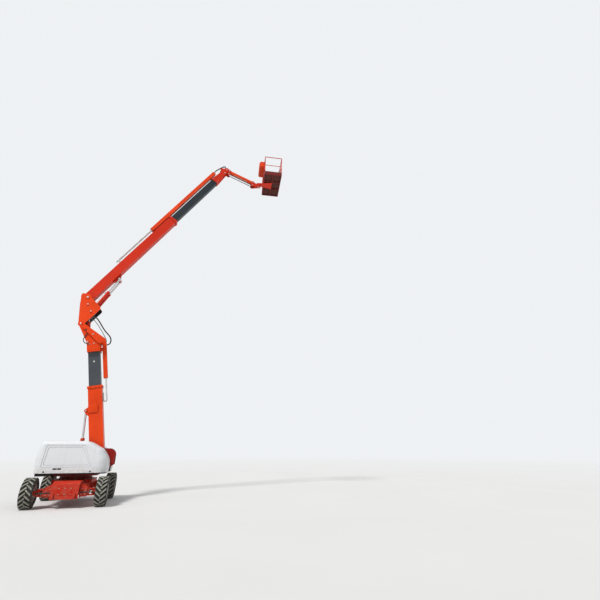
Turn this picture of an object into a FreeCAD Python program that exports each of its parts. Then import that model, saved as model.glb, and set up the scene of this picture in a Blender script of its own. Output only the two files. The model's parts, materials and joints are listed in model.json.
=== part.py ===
import FreeCAD, Part
import math
import os
import re
import Sketcher
from FreeCAD import Placement, Rotation, Vector

# Articulating boom lift, standing on its four wheels with the boom raised.
# The row frame: +X the way the boom reaches, +Y along the chassis, +Z up, ground at Z = 0.
# The turntable is slewed a quarter turn, so the boom reaches out sideways over the wheels.

# alias, value in mm or degrees, what it measures
SIZES = (
    # chassis and wheels
    ("slew_x", -3086.1, "slewing axis from the part's origin, along X"),
    ("track", 2130, "between the middles of the tyres"),
    ("wheelbase", 2480, "between the axles"),
    ("tyre_radius", 455, "to the tips of the lugs"),
    ("tyre_width", 355, "across the tread"),
    ("rim_radius", 254, "tyre seat"),
    ("lug_height", 42, "tyre lugs above the carcass"),
    ("lug_wide", 44, "tyre lug across its length"),
    ("lug_length", 255, "tyre lug, cut off at the shoulder"),
    ("tyre_flank", 70, "widest part of a tyre below the tread"),
    ("tyre_bead", 45, "widest part of a tyre above its seat"),
    ("lug_count", 18, "lugs on each half of a tread"),
    ("lug_turn", 42, "lean of a lug from straight across the tread"),
    ("beam_width", 800, "chassis beam"),
    ("beam_low", 270, "underside of the chassis beam"),
    ("beam_high", 790, "top of the chassis beam"),
    ("beam_overhang", 320, "end face of the chassis beam past the axle"),
    ("beam_slope", 260, "length of the sloping top at each end"),
    ("beam_drop", 90, "fall of the sloping top"),
    ("beam_plate", 25, "chassis plate thickness"),
    ("deck_width", 1240, "bearing seat across the chassis"),
    ("deck_length", 1300, "bearing seat along the chassis"),
    ("deck_thick", 110, "bearing seat"),
    ("lug_bore", 25, "radius of the tie-down bores"),
    ("lug_thick", 40, "tie-down and tow lugs"),
    ("lug_round", 62, "outer radius of the lugs"),
    ("lug_spread", 310, "tie-down lugs from the middle"),
    ("axle_depth", 180, "axle beam, square"),
    ("axle_gap", 8, "axle to its tunnel in the chassis"),
    ("guard_x", 620, "outer edge of the axle guards from the middle"),
    ("guard_low", 50, "axle guards above the underside of the beam"),
    ("guard_high", 340, "axle guards' outer top above the underside of the beam"),
    ("guard_rise", 110, "rise of the axle guards' top towards the beam"),
    ("kingpin_x", 800, "kingpins from the middle"),
    ("kingpin_radius", 45, "steering pivot"),
    ("yoke_round", 72, "axle ear around the kingpin"),
    ("yoke_thick", 40, "axle ear"),
    ("yoke_gap", 150, "between the ears"),
    ("yoke_reach", 80, "axle ears past the yoke, back over the beam"),
    ("yoke_room", 55, "axle beam's end from the yoke, for the turned knuckle"),
    ("spindle_radius", 66, "hub carrier"),
    ("hub_radius", 120, "hub of a wheel"),
    ("hub_inner", 950, "inner face of the hubs"),
    ("steer_arm", 190, "steering arm"),
    ("steer_arm_thick", 26, "steering arm plate"),
    ("steer_arm_drop", 62, "top of the arm below the axle"),
    ("steer_eye", 38, "steering eye radius"),
    ("steer_rod", 20, "steering rod radius"),
    ("steer_barrel", 46, "steering cylinder radius"),
    ("steer_barrel_length", 640, "steering cylinder"),
    # turntable
    ("ring_radius", 500, "slewing ring"),
    ("ring_gear", 455, "inner race"),
    ("table_floor", 897, "underside of the turntable"),
    ("table_thick", 60, "turntable plate"),
    ("table_tail", 980, "plate from the slewing axis to the rear"),
    ("table_nose", 720, "plate from the slewing axis to the front"),
    ("table_half", 600, "half the plate's width"),
    ("table_corner", 260, "corner cut of the plate"),
    ("cheek_gap", 222, "inner face of a cheek plate from the middle"),
    ("cheek_thick", 28, "cheek plate"),
    ("cheek_nose", 1190, "front edge of the cheeks"),
    ("cheek_top", 1800, "top of the cheeks"),
    ("cheek_tail", 260, "rear foot of the cheeks"),
    ("cheek_round", 240, "rounded corners of the cheeks"),
    ("ballast_tail", 1075, "rear face of the counterweight"),
    ("ballast_front", 600, "front face of the counterweight"),
    ("ballast_half", 1020, "half width of the counterweight"),
    ("ballast_slot", 300, "half width of the slot for the tower"),
    ("ballast_low", 925, "underside of the counterweight"),
    ("ballast_bridge", 60, "bridge under the slot"),
    ("ballast_high", 1500, "top of the counterweight"),
    ("hood_tail", 1145, "rear of the hoods"),
    ("hood_nose", 1075, "front of the hoods"),
    ("hood_floor", 1020, "lower edge of the hoods"),
    ("hood_roof", 2030, "top of the hoods"),
    ("hood_lean", 25, "how far a hood's ends lean in at the foot"),
    ("hood_low", 200, "foremost point of a hood above its foot"),
    ("hood_knee", 450, "fullest height of a hood's ends above the foot"),
    ("hood_brow", 250, "front shoulder of a hood behind its nose"),
    ("hood_brow_drop", 255, "front shoulder of a hood below its top"),
    ("hood_crown", 700, "front of a hood's top behind its nose"),
    ("hood_back", 150, "rear of a hood's top ahead of its tail"),
    ("hood_shoulder", 65, "rear shoulder of a hood ahead of its tail"),
    ("hood_shoulder_drop", 180, "rear shoulder of a hood below its top"),
    ("hood_bend", 450, "radius of a hood's bends seen from the side"),
    ("hood_foot_bend", 110, "radius of the front shoulder and the rear top"),
    ("hood_nose_round", 330, "rounding of a hood's front corner at its foot"),
    ("hood_tail_round", 240, "rounding of a hood's rear corner at its foot"),
    ("panel_tail", 220, "pressed panel ahead of a hood's tail"),
    ("panel_nose", 475, "pressed panel behind a hood's nose"),
    ("panel_low", 180, "pressed panel above a hood's foot"),
    ("panel_high", 130, "pressed panel below a hood's top"),
    ("panel_step", 8, "depth of each step of a pressed panel"),
    ("panel_rim", 65, "width of the first step of a pressed panel"),
    ("panel_lean", 70, "lean of a pressed panel's rear edge"),
    ("panel_slope", 300, "lean of a pressed panel's front edge"),
    ("panel_round", 60, "corners of a pressed panel"),
    ("grip_x", 425, "middle of a hood's grip behind the slewing axis"),
    ("grip_half", 125, "half length of a hood's grip"),
    ("grip_low", 105, "grip above a hood's foot"),
    ("grip_high", 155, "top of the grip above a hood's foot"),
    ("grip_depth", 18, "depth of a hood's grip"),
    ("hood_outer", 1200, "side of a hood from the middle"),
    ("hood_skin", 30, "hood wall"),
    ("hood_round", 130, "rounding of a hood's top edge"),
    ("tray_thick", 30, "floor under a hood"),
    ("tray_inner", 300, "inner wall of a tray from the middle"),
    ("tray_outer", 1140, "outer edge of a tray from the middle"),
    ("tray_short", 35, "front edge of a tray behind a hood's nose"),
    ("tray_round", 290, "front corner of a tray"),
    ("wall_short", 15, "edge of a tray's inner wall inside the hood's outline"),
    ("engine_length", 850, "engine block along X"),
    ("engine_width", 520, "engine block along Y"),
    ("engine_height", 580, "engine block"),
    ("engine_y", 700, "engine block from the middle"),
    ("tank_length", 520, "a tank along X"),
    ("tank_width", 480, "a tank along Y"),
    ("tank_height", 520, "a tank"),
    # tower
    ("tower_x", 600, "tower pivot ahead of the slewing axis"),
    ("tower_z", 1420, "tower pivot above the ground"),
    ("tower_angle", 101.3, "tower direction above +X"),
    ("tower_length", 2690, "pivot to the mouth of the base section"),
    ("tower_butt", 150, "base section behind its pivot"),
    ("tower_depth", 480, "base section"),
    ("tower_width", 380, "base section"),
    ("tower_wall", 12, "tube wall of the sections"),
    ("tower_inner_depth", 416, "inner section"),
    ("tower_inner_width", 320, "inner section"),
    ("tower_inner_start", 1500, "lower end of the inner section"),
    ("tower_inner_end", 4160, "upper end of the inner section"),
    ("tower_collar", 90, "collar at the mouth"),
    ("collar_proud", 22, "collar over the tube"),
    ("pin_radius", 42, "main pivot pins"),
    ("pin_cap", 66, "pin head radius"),
    ("pin_cap_thick", 14, "pin head"),
    ("lift_base_x", 50, "tower cylinder's lower pin"),
    ("lift_base_z", 1070, "tower cylinder's lower pin"),
    ("lift_lug_along", 1810, "tower cylinder's upper pin along the tower"),
    ("lift_lug_off", 340, "tower cylinder's upper pin off the tower's middle"),
    ("lift_barrel", 65, "tower cylinder barrel radius"),
    ("lift_rod", 38, "tower cylinder rod radius"),
    ("lift_barrel_end", 1080, "mouth of the tower cylinder's barrel"),
    ("rod_lap", 160, "rod left inside a barrel as posed"),
    ("eye_radius", 58, "cylinder eyes"),
    ("eye_half", 38, "half thickness of an eye"),
    ("ear_gap", 44, "inner face of an ear from the middle"),
    ("ear_thick", 22, "ear plates"),
    ("ear_round", 60, "outer radius of an ear"),
    # tower head and upright
    ("head_start", 4030, "lower edge of the tower head"),
    ("head_end", 4560, "upper edge of the tower head"),
    ("head_plate", 26, "tower head plates"),
    ("elbow_along", 5216, "elbow pin along the tower, fully out"),
    ("elbow_off", 427, "elbow pin off the tower's middle"),
    ("elbow_round", 105, "head plates around the elbow pin"),
    ("level_low_along", 4435, "level cylinder's lower pin along the tower"),
    ("level_low_off", 195, "level cylinder's lower pin"),
    ("head_hole", 62, "radius of the hole in the head plates"),
    ("hole_along", 290, "hole in the head plates below the elbow pin"),
    ("hole_off", 190, "hole in the head plates beside the elbow pin"),
    ("upright_half", 212, "inner face of an upright plate from the middle"),
    ("upright_plate", 22, "upright plates"),
    ("knee_x", 40, "main boom pivot beyond the elbow, along X"),
    ("knee_z", 1150, "main boom pivot above the elbow"),
    ("knee_round", 150, "upright plates around the boom pivot"),
    ("upright_back", 210, "rear edge of the upright behind the elbow"),
    ("upright_nose_x", 590, "front corner of the upright"),
    ("upright_nose_z", 720, "front corner of the upright"),
    ("flange_x", 437, "upper end of the upright's front flanges"),
    ("flange_z", 467, "upper end of the upright's front flanges"),
    ("flange_thick", 20, "the upright's front flanges"),
    ("flange_inner", 120, "inner edge of the upright's front flanges from the middle"),
    ("level_top_x", 100, "level cylinder's upper pin from the elbow"),
    ("level_top_z", 850, "level cylinder's upper pin from the elbow"),
    ("level_barrel", 62, "level cylinder barrel radius"),
    ("level_rod", 32, "level cylinder rod radius"),
    ("level_barrel_end", 900, "mouth of the level cylinder's barrel"),
    ("boom_foot_x", 260, "boom cylinders' lower pin from the elbow"),
    ("boom_foot_z", 560, "boom cylinders' lower pin from the elbow"),
    # main boom
    ("boom_angle", 57, "main boom direction above +X"),
    ("boom_length", 5300, "pivot to the mouth of the base section"),
    ("boom_butt", 130, "base section behind its pivot"),
    ("boom_depth", 380, "base section"),
    ("boom_width", 320, "base section"),
    ("boom_wall", 10, "tube wall of the sections"),
    ("boom_collar", 110, "collar at the mouth"),
    ("boom_inner_depth", 310, "inner section"),
    ("boom_inner_width", 256, "inner section"),
    ("boom_inner_start", 3600, "rear end of the inner section"),
    ("tip_fork", 940, "front end of the inner section behind the tip pin"),
    ("boom_lug_along", 1400, "boom cylinders' upper pin along the boom"),
    ("boom_lug_off", 345, "boom cylinders' upper pin under the boom's middle"),
    ("boom_lug_half", 76, "half thickness of the lug under the boom"),
    ("twin_y", 148, "boom cylinders from the middle"),
    ("twin_half", 58, "half thickness of a boom cylinder eye"),
    ("twin_barrel", 58, "boom cylinder barrel radius"),
    ("twin_rod", 34, "boom cylinder rod radius"),
    ("twin_barrel_end", 1080, "mouth of a boom cylinder's barrel"),
    ("tip_sleeve", 120, "boom tip over the end of the inner section"),
    ("boom_reach", 9500, "boom pivot to the tip pin, fully out"),
    ("tip_lap", 30, "boom tip's sleeve past the end of the inner section"),
    ("tip_plate", 20, "boom tip plates"),
    ("tip_round", 105, "boom tip plates around the pin"),
    # hose carriers
    ("tube_wall", 6, "hose tube wall"),
    ("tower_tube_y", 150, "tower hose tube width"),
    ("tower_tube_off", 296, "tower hose tube's near face from the tower's middle"),
    ("tower_tube_deep", 150, "tower hose tube"),
    ("tower_tube_start", 2960, "lower end of the tower hose tube"),
    ("tower_tube_end", 4480, "upper end of the tower hose tube"),
    ("guide_wide", 150, "hose guide across the tower head"),
    ("guide_thick", 50, "hose guide across the tower head"),
    ("duct_deep", 36, "flat hose duct from the tube round the tower head"),
    ("duct_back", 45, "the duct ends short of the tube, clear of the boom's cylinders"),
    ("guide_gap", 18, "hose guide over the pins of the tower head"),
    ("guide_short", 85, "end of the hose guide before the elbow pin, each way"),
    ("boom_tube_y", 180, "boom hose tube width"),
    ("boom_tube_off", 262, "boom hose tube's near face from the boom's middle"),
    ("boom_tube_deep", 160, "boom hose tube"),
    ("boom_tube_start", 4180, "rear end of the boom hose tube"),
    ("boom_tube_short", 600, "front end of the boom hose tube behind the tip pin"),
    ("chain_thick", 44, "drag chain"),
    ("link_pitch", 90, "drag chain, from link to link"),
    ("link_window", 62, "opening of a chain link, along the chain"),
    ("link_bar", 18, "side bar of a chain link"),
    ("chain_width", 100, "drag chain"),
    ("chain_slot", 58, "half width of the slot in a hose tube for its chain"),
    ("tower_travel", 1250, "how far the tower slides in"),
    ("boom_travel", 3050, "how far the main boom slides in"),
    ("tower_loop", 2040, "bottom of the tower chain's loop"),
    ("tower_anchor", 2400, "fixed end of the tower chain"),
    ("boom_loop", 2040, "rear of the boom chain's loop"),
    ("boom_anchor", 3300, "fixed end of the boom chain"),
    # jib and basket
    ("jib_angle", -17.5, "jib direction above +X"),
    ("jib_pivot_x", 140, "jib pivot ahead of the tip pin"),
    ("jib_pivot_z", -20, "jib pivot above the tip pin"),
    ("jib_length", 1350, "jib pivot to the carrier's pin"),
    ("jib_depth", 140, "jib arm"),
    ("jib_width", 100, "jib arm"),
    ("link_x", -20, "link pin beside the jib pin"),
    ("link_z", -180, "link pin below the jib pin"),
    ("link_radius", 12, "jib link rods"),
    ("link_y", 70, "jib link rods from the middle"),
    ("link_inner", 56, "inner face of a jib link eye from the middle"),
    ("bell_x", -250, "slave cylinder pin behind the tip pin"),
    ("bell_z", -30, "slave cylinder pin below the tip pin"),
    ("knuckle_half", 90, "inner face of a knuckle plate from the middle"),
    ("knuckle_plate", 18, "knuckle plates"),
    ("knuckle_round", 78, "knuckle plates around their pins"),
    ("jib_pin", 30, "jib pins"),
    ("rotator_x", 330, "rotator axis beyond the carrier's pin"),
    ("rotator_radius", 112, "basket rotator"),
    ("rotator_low", -150, "underside of the rotator from the carrier's pin"),
    ("basket_turn", -9, "basket about the rotator, from square"),
    ("basket_floor", 80, "basket floor above the carrier's pin"),
    ("basket_gap", 245, "rotator axis to the basket's near side"),
    ("basket_depth", 910, "basket along the reach"),
    ("basket_length", 1830, "basket across the reach"),
    ("basket_height", 1100, "top rail above the floor"),
    ("rail_radius", 19, "basket top rail tubes"),
    ("mid_rail_radius", 15, "basket mid rail tubes"),
    ("post_radius", 17.5, "basket posts"),
    ("toe_height", 150, "toe board"),
    ("toe_thick", 5, "toe board"),
    ("deck_plate", 4, "basket floor plate"),
    ("cross_depth", 50, "floor members"),
    ("cross_width", 50, "floor members"),
    ("gate_width", 620, "basket gate"),
    ("gate_gap", 12, "gate to its posts"),
    ("console_length", 900, "control console"),
    ("console_depth", 260, "control console"),
    ("console_height", 320, "control console"),
    ("console_low", 800, "underside of the console above the floor"),
    ("lap", 1, "how far joined pieces and cuts reach past a face"),
    ("rest_gap", 0.5, "running clearance beside the eyes and hubs"),
    ("pin_gap", 0.3, "clearance of hinges, wear pads and the slewing ring"),
    ("slide_gap", 6, "between sections that slide past each other"),
)

DOC = FreeCAD.newDocument("boom_lift")
DIMS = DOC.addObject("Spreadsheet::Sheet", "Dims")
for line, (alias, amount, meaning) in enumerate(SIZES, 1):
    DIMS.set(f"A{line}", meaning)
    DIMS.set(f"B{line}", str(amount))
    DIMS.setAlias(f"B{line}", alias)
DOC.recompute()
NODES = []


def mm(name):
    """The value of one named size."""
    return float(DIMS.get(name))


def size_of(text):
    """The value of an expression on the sheet's names."""
    probe = DOC.getObject("Probe") or DOC.addObject("App::FeaturePython", "Probe")
    return float(probe.evalExpression(bound(text)))


def bound(text):
    """An expression on the sheet's names, as the document's objects read it."""
    return re.sub(r"[a-z]\w*", lambda word: "Dims." + word[0], str(text))


def bind(thing, **expressions):
    """Bind properties of an object; a double underscore stands for a dot."""
    for name, text in expressions.items():
        thing.setExpression(name.replace("__", "."), bound(text))
    return thing


def set_at(thing, x, y, z, turn=None):
    """Put a primitive at a named place of its sub-part's own frame."""
    thing.Placement = Placement(Vector(), turn or Rotation())
    return bind(thing, Placement__Base__x=x, Placement__Base__y=y, Placement__Base__z=z)


def box(x, y, z):
    """A block between named limits, each a low and a high expression."""
    block = DOC.addObject("Part::Box", "block")
    spans = {"Length": x, "Width": y, "Height": z}
    for name, (low, high) in spans.items():
        block.setExpression(name, bound(f"({high}) - ({low})"))
    return set_at(block, x[0], y[0], z[0])


TURNS = {
    "X": Rotation(Vector(0, 1, 0), 90),
    "Y": Rotation(Vector(1, 0, 0), -90),
    "Z": Rotation(),
}


def bar(axis, radius, low, high, u="0", v="0"):
    """A round bar along an axis; u and v are its other two coordinates, in X, Y, Z order."""
    rod = bind(DOC.addObject("Part::Cylinder", "bar"), Radius=radius, Height=f"({high}) - ({low})")
    places = {"X": (low, u, v), "Y": (u, low, v), "Z": (u, v, low)}
    return set_at(rod, *places[axis], TURNS[axis])


def fuse(*pieces):
    """One solid out of pieces that touch."""
    joined = DOC.addObject("Part::MultiFuse", "joined")
    joined.Shapes = list(pieces)
    joined.Refine = True
    return joined


def cut(base, *tools):
    """A piece with others taken out of it."""
    left = DOC.addObject("Part::Cut", "cut")
    left.Base = base
    left.Tool = tools[0] if len(tools) == 1 else fuse(*tools)
    left.Refine = True
    return left


PLANES = {"X": "YZ_Plane", "Y": "XZ_Plane", "Z": "XY_Plane"}


def outline(body, axis, corners, start="0"):
    """A closed sketch through named corners, square to an axis and at a named place on it."""
    sketch = body.newObject("Sketcher::SketchObject", "outline")
    plane = [item for item in body.Origin.OriginFeatures if item.Role == PLANES[axis]][0]
    sketch.AttachmentSupport = [(plane, "")]
    sketch.MapMode = "FlatFace"
    sign = "-" if axis == "Y" else ""
    sketch.setExpression("AttachmentOffset.Base.z", bound(f"{sign}({start})"))
    count = len(corners)
    ring = [Vector(math.cos(math.tau * i / count), math.sin(math.tau * i / count), 0)
            for i in range(count)]
    for i in range(count):
        sketch.addGeometry(Part.LineSegment(ring[i], ring[(i + 1) % count]), False)
    for i in range(count):
        sketch.addConstraint(Sketcher.Constraint("Coincident", i, 2, (i + 1) % count, 1))
    for i, corner in enumerate(corners):
        for way, text, first in zip("XY", corner, (ring[i].x, ring[i].y)):
            place = Sketcher.Constraint("Distance" + way, -1, 1, i, 1, first)
            sketch.renameConstraint(sketch.addConstraint(place), f"corner{i}{way}")
            sketch.setExpression(f"Constraints.corner{i}{way}", bound(text))
    return sketch


def prism(axis, corners, low, high, rounds=()):
    """A plate or block with a named outline, between two places on an axis.

    rounds holds pairs of a radius and the numbers of the corners that it rounds.
    """
    body = DOC.addObject("PartDesign::Body", "plate")
    start = high if axis == "Y" else low
    pad = body.newObject("PartDesign::Pad", "pad")
    pad.Profile = outline(body, axis, corners, start)
    pad.setExpression("Length", bound(f"({high}) - ({low})"))
    DOC.recompute()
    for radius, numbers in rounds:
        base = body.Tip
        points = [corner_point(pad, number) for number in numbers]
        fillet = body.newObject("PartDesign::Fillet", "rounds")
        fillet.Base = (base, edges_through(base.Shape, axis, points))
        fillet.setExpression("Radius", bound(radius))
        DOC.recompute()
    return body


def corner_point(pad, number):
    """The place of one corner of a pad's outline."""
    sketch = pad.Profile[0]
    return sketch.Placement.multVec(sketch.Geometry[number].StartPoint)


def edges_through(shape, axis, points):
    """The names of the edges along an axis that pass through given points."""
    way = {"X": Vector(1, 0, 0), "Y": Vector(0, 1, 0), "Z": Vector(0, 0, 1)}[axis]
    names = []
    for number, edge in enumerate(shape.Edges, 1):
        ends = [vertex.Point for vertex in edge.Vertexes]
        if len(ends) != 2 or (ends[1] - ends[0]).cross(way).Length > 1e-3:
            continue
        if any((ends[0] - point).cross(way).Length < 1e-3 for point in points):
            names.append(f"Edge{number}")
    return names


def lathe(corners):
    """A turned piece about X from a named half profile of X and radius."""
    body = DOC.addObject("PartDesign::Body", "turned")
    turned = body.newObject("PartDesign::Revolution", "turning")
    turned.Profile = outline(body, "Y", corners)
    turned.ReferenceAxis = (turned.Profile[0], ["H_Axis"])
    turned.Angle = 360
    return body


def node(thing, label, frame):
    """Name a finished sub-part and put it in its frame."""
    thing.Label = label
    thing.Placement = frame
    NODES.append(thing)
    return thing


def frame_at(x, z, angle=0.0):
    """A frame in the boom's plane, its +X raised by an angle."""
    return Placement(Vector(x, 0, z), Rotation(Vector(0, -1, 0), angle))


BASE = frame_at(mm("slew_x"), 0)
TOWER = frame_at(mm("slew_x") + mm("tower_x"), mm("tower_z"), mm("tower_angle"))
ELBOW_POINT = TOWER.multVec(Vector(mm("elbow_along"), 0, mm("elbow_off")))
ELBOW = frame_at(ELBOW_POINT.x, ELBOW_POINT.z)
BOOM = frame_at(ELBOW_POINT.x + mm("knee_x"), ELBOW_POINT.z + mm("knee_z"), mm("boom_angle"))
TIP_POINT = BOOM.multVec(Vector(mm("boom_reach"), 0, 0))
TIP = frame_at(TIP_POINT.x, TIP_POINT.z)
JIB = frame_at(TIP_POINT.x + mm("jib_pivot_x"), TIP_POINT.z + mm("jib_pivot_z"), mm("jib_angle"))
CARRIER_POINT = JIB.multVec(Vector(mm("jib_length"), 0, 0))
CARRIER = frame_at(CARRIER_POINT.x, CARRIER_POINT.z)
BASKET = Placement(
    Vector(CARRIER_POINT.x + mm("rotator_x"), 0, CARRIER_POINT.z + mm("basket_floor")),
    Rotation(Vector(0, 0, 1), mm("basket_turn")))


def across(frame, x, z):
    """A place in the boom's plane, from a frame's own X and Z."""
    return frame.multVec(Vector(x, 0, z))


def aimed(start, end):
    """A frame at one pin with its +X towards another."""
    way = end - start
    return frame_at(start.x, start.z, math.degrees(math.atan2(way.z, way.x)))


def chassis_frame():
    end, high, low = "(wheelbase / 2 + beam_overhang)", "beam_high", "beam_low"
    side = (
        (f"-{end}", low), (end, low), (end, f"{high} - beam_drop"), (f"{end} - beam_slope", high),
        (f"beam_slope - {end}", high), (f"-{end}", f"{high} - beam_drop"))
    beam = prism("X", side, "-beam_width / 2", "beam_width / 2")
    deck = box(("-deck_width / 2", "deck_width / 2"), ("-deck_length / 2", "deck_length / 2"),
               (f"{high} - deck_thick", high))
    inside = box(("beam_plate - beam_width / 2", "beam_width / 2 - beam_plate"),
                 (f"beam_plate - {end}", f"{end} - beam_plate"),
                 (f"{low} - lap", f"{high} - beam_drop - beam_plate"))
    near, far = "wheelbase / 2 - axle_depth / 2 - axle_gap", "wheelbase / 2 + axle_depth / 2 + axle_gap"
    steered = "wheelbase / 2 + steer_arm + steer_barrel + axle_gap * 2"
    tunnels = [box(("-beam_width", "beam_width"), span, (f"{low} - lap", "tyre_radius + axle_depth / 2"))
               for span in ((f"-({steered})", f"-({near})"), (near, far))]
    lugs = []
    bores = []
    for way in (-1, 1):
        for x in ("-lug_spread", "lug_spread"):
            spot = f"{way} * ({end} + lug_round)"
            span = (f"{x} - lug_thick / 2", f"{x} + lug_thick / 2")
            root = f"{way} * ({end} - lap)"
            foot = box(span, (root, spot) if way > 0 else (spot, root),
                       (f"{low} + beam_drop - lug_round", f"{low} + beam_drop + lug_round"))
            lugs += [foot, bar("X", "lug_round", *span, spot, f"{low} + beam_drop")]
            bores.append(bar("X", "lug_bore", f"{x} - lug_thick", f"{x} + lug_thick",
                             spot, f"{low} + beam_drop"))
    shell = cut(fuse(beam, deck), inside, *tunnels)
    node(cut(fuse(shell, *lugs, *axle_guards()), *bores), "chassis_frame", BASE)


def axle_guards():
    """Plates on the sides of the chassis beam, before and behind each axle."""
    guards = []
    near = "wheelbase / 2 - axle_depth / 2 - axle_gap"
    far = "wheelbase / 2 + axle_depth / 2 + axle_gap"
    spans = ((f"{near} - beam_plate", near), (far, f"{far} + beam_plate"))
    root, reach = "beam_width / 2 - lap", "guard_x"
    low, high = "beam_low + guard_low", "beam_low + guard_high"
    for row in (-1, 1):
        for inner, outer in spans:
            span = (inner, outer) if row > 0 else (f"-({outer})", f"-({inner})")
            for way in (-1, 1):
                corners = ((f"{way} * ({root})", low), (f"{way} * {reach}", low),
                           (f"{way} * {reach}", high), (f"{way} * ({root})", f"{high} + guard_rise"))
                guards.append(prism("Y", corners, *span))
    return guards


def front_axle():
    y, z, half = "-wheelbase / 2", "tyre_radius", "axle_depth / 2"
    beam = box(("-kingpin_x + yoke_round + yoke_room", "kingpin_x - yoke_round - yoke_room"),
               (f"{y} - {half}", f"{y} + {half}"), (f"{z} - {half}", f"{z} + {half}"))
    ears = []
    for way in (-1, 1):
        x = f"{way} * kingpin_x"
        for low, high in (("yoke_gap / 2", "yoke_gap / 2 + yoke_thick"),
                          ("-yoke_gap / 2 - yoke_thick", "-yoke_gap / 2")):
            reach = "yoke_round + yoke_reach"
            spread = (f"{x} - ({reach})", x) if way > 0 else (x, f"{x} + {reach}")
            ears.append(bar("Z", "yoke_round", f"{z} + {low}", f"{z} + {high}", x, y))
            ears.append(box(spread, (f"{y} - yoke_round", f"{y} + yoke_round"),
                            (f"{z} + {low}", f"{z} + {high}")))
    node(fuse(beam, *ears), "front_axle", BASE)


def rear_axle():
    y, z, half = "wheelbase / 2", "tyre_radius", "axle_depth / 2"
    beam = box(("-kingpin_x", "kingpin_x"), (f"{y} - {half}", f"{y} + {half}"),
               (f"{z} - {half}", f"{z} + {half}"))
    housing = bar("Y", "axle_depth * 0.75", f"{y} - {half} - 60", f"{y} + {half}", "0", z)
    hub, flange = "kingpin_x - 60", "hub_inner - rest_gap"
    hubs = [bar("X", "hub_radius", low, high, y, z)
            for low, high in ((f"-({flange})", f"-({hub})"), (hub, flange))]
    node(fuse(beam, housing, *hubs), "rear_axle", BASE)


def knuckle(way, name):
    """A steering knuckle: kingpin, hub carrier and the arm that the steering rod turns."""
    x, y, z = f"{way} * kingpin_x", "-wheelbase / 2", "tyre_radius"
    span = (x, f"{way} * (hub_inner - rest_gap)")
    pin = bar("Z", "kingpin_radius + 16", f"{z} - yoke_gap / 2 + rest_gap",
              f"{z} + yoke_gap / 2 - rest_gap", x, y)
    spindle = bar("X", "spindle_radius", *(span if way > 0 else span[::-1]), y, z)
    high = f"{z} - steer_arm_drop + steer_arm_thick"
    arm = box((f"{x} - steer_eye", f"{x} + steer_eye"), (f"{y} - steer_arm", y),
              (f"{z} - steer_arm_drop", high))
    eye = bar("Z", "steer_eye", f"{z} - steer_arm_drop", high, x, f"{y} - steer_arm")
    node(fuse(pin, spindle, arm, eye), name, BASE)


def steering():
    y, z = "-wheelbase / 2 - steer_arm", "tyre_radius"
    barrel = bar("X", "steer_barrel", "-steer_barrel_length / 2", "steer_barrel_length / 2", y, z)
    bore = bar("X", "steer_rod + rest_gap", "-steer_barrel_length", "steer_barrel_length", y, z)
    feet = [box((f"{x} - 30", f"{x} + 30"), (y, "-wheelbase / 2 - axle_depth / 2"),
                (f"{z} - 30", f"{z} + 30"))
            for x in ("-steer_barrel_length / 3", "steer_barrel_length / 3")]
    node(cut(fuse(barrel, *feet), bore), "steer_cylinder", BASE)
    rod = bar("X", "steer_rod", "-kingpin_x", "kingpin_x", y, z)
    low = f"{z} - steer_arm_drop + steer_arm_thick + rest_gap"
    eyes = [bar("Z", "steer_eye", low, f"{z} + steer_rod", f"{way} * kingpin_x", y)
            for way in (-1, 1)]
    node(fuse(rod, *eyes), "steer_rod", BASE)


def tyre():
    """A tyre whose tread has bars in pairs, from its middle out to the shoulders, half a pitch apart."""
    bars = []
    count = int(mm("lug_count"))
    for half in (-1, 1):
        lean = mm("lug_turn") if half > 0 else 180 - mm("lug_turn")
        for number in range(count):
            lug = DOC.addObject("Part::Box", "lug")
            bind(lug, Length="lug_length", Width="lug_wide", Height="lug_height * 2")
            angle = (number + 0.25 * half) * 360 / count
            root = mm("tyre_radius") - mm("lug_height") * 1.5
            corner = Vector(-mm("lug_length") / 2, -mm("lug_wide") / 2, root)
            middle = Placement(Vector(half * mm("tyre_width") / 4, 0, 0), Rotation(Vector(0, 0, 1), lean))
            lug.Placement = (Placement(Vector(), Rotation(Vector(1, 0, 0), angle)) * middle
                             * Placement(corner, Rotation()))
            bars.append(lug)
    width = "tyre_width / 2"
    crown, flank, seat = "tyre_radius", "tyre_radius - tyre_flank", "rim_radius + tyre_bead"
    whole = lathe((
        (f"-{width} * 0.86", "rim_radius"), (f"{width} * 0.86", "rim_radius"), (width, seat), (width, flank),
        (f"{width} * 0.86", crown), (f"-{width} * 0.86", crown), (f"-{width}", flank), (f"-{width}", seat)))
    floor = bar("X", f"{crown} - lug_height", "-tyre_width", "tyre_width")
    around = bar("X", f"{crown} + lug_height", "-tyre_width * 0.75", "tyre_width * 0.75")
    return cut(whole, cut(around, floor, *bars))


def wheel(way, row, name):
    """A rim and its tyre; way is -1 or 1 across the chassis, row -1 or 1 along it."""
    width = "tyre_width / 2"
    hub_inner = "track / 2 - hub_inner"
    rim = (
        (f"-({hub_inner})", "0"), ("70", "0"), ("70", "hub_radius * 0.75"), ("30", "hub_radius"),
        ("30", "rim_radius - 30"), (f"{width} * 0.86", "rim_radius - 22"),
        (f"{width} * 0.86", "rim_radius"), (f"-{width} * 0.86", "rim_radius"),
        (f"-{width} * 0.86", "rim_radius - 12"), ("-12", "rim_radius - 12"),
        ("-12", "hub_radius"), (f"-({hub_inner})", "hub_radius"))
    turn = Rotation(Vector(0, 0, 1), 0 if way > 0 else 180)
    spot = Placement(Vector(mm("slew_x") + way * mm("track") / 2, row * mm("wheelbase") / 2,
                            mm("tyre_radius")), turn)
    node(tyre(), name + "_tyre", spot)
    node(lathe(rim), name + "_rim", spot)


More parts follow.
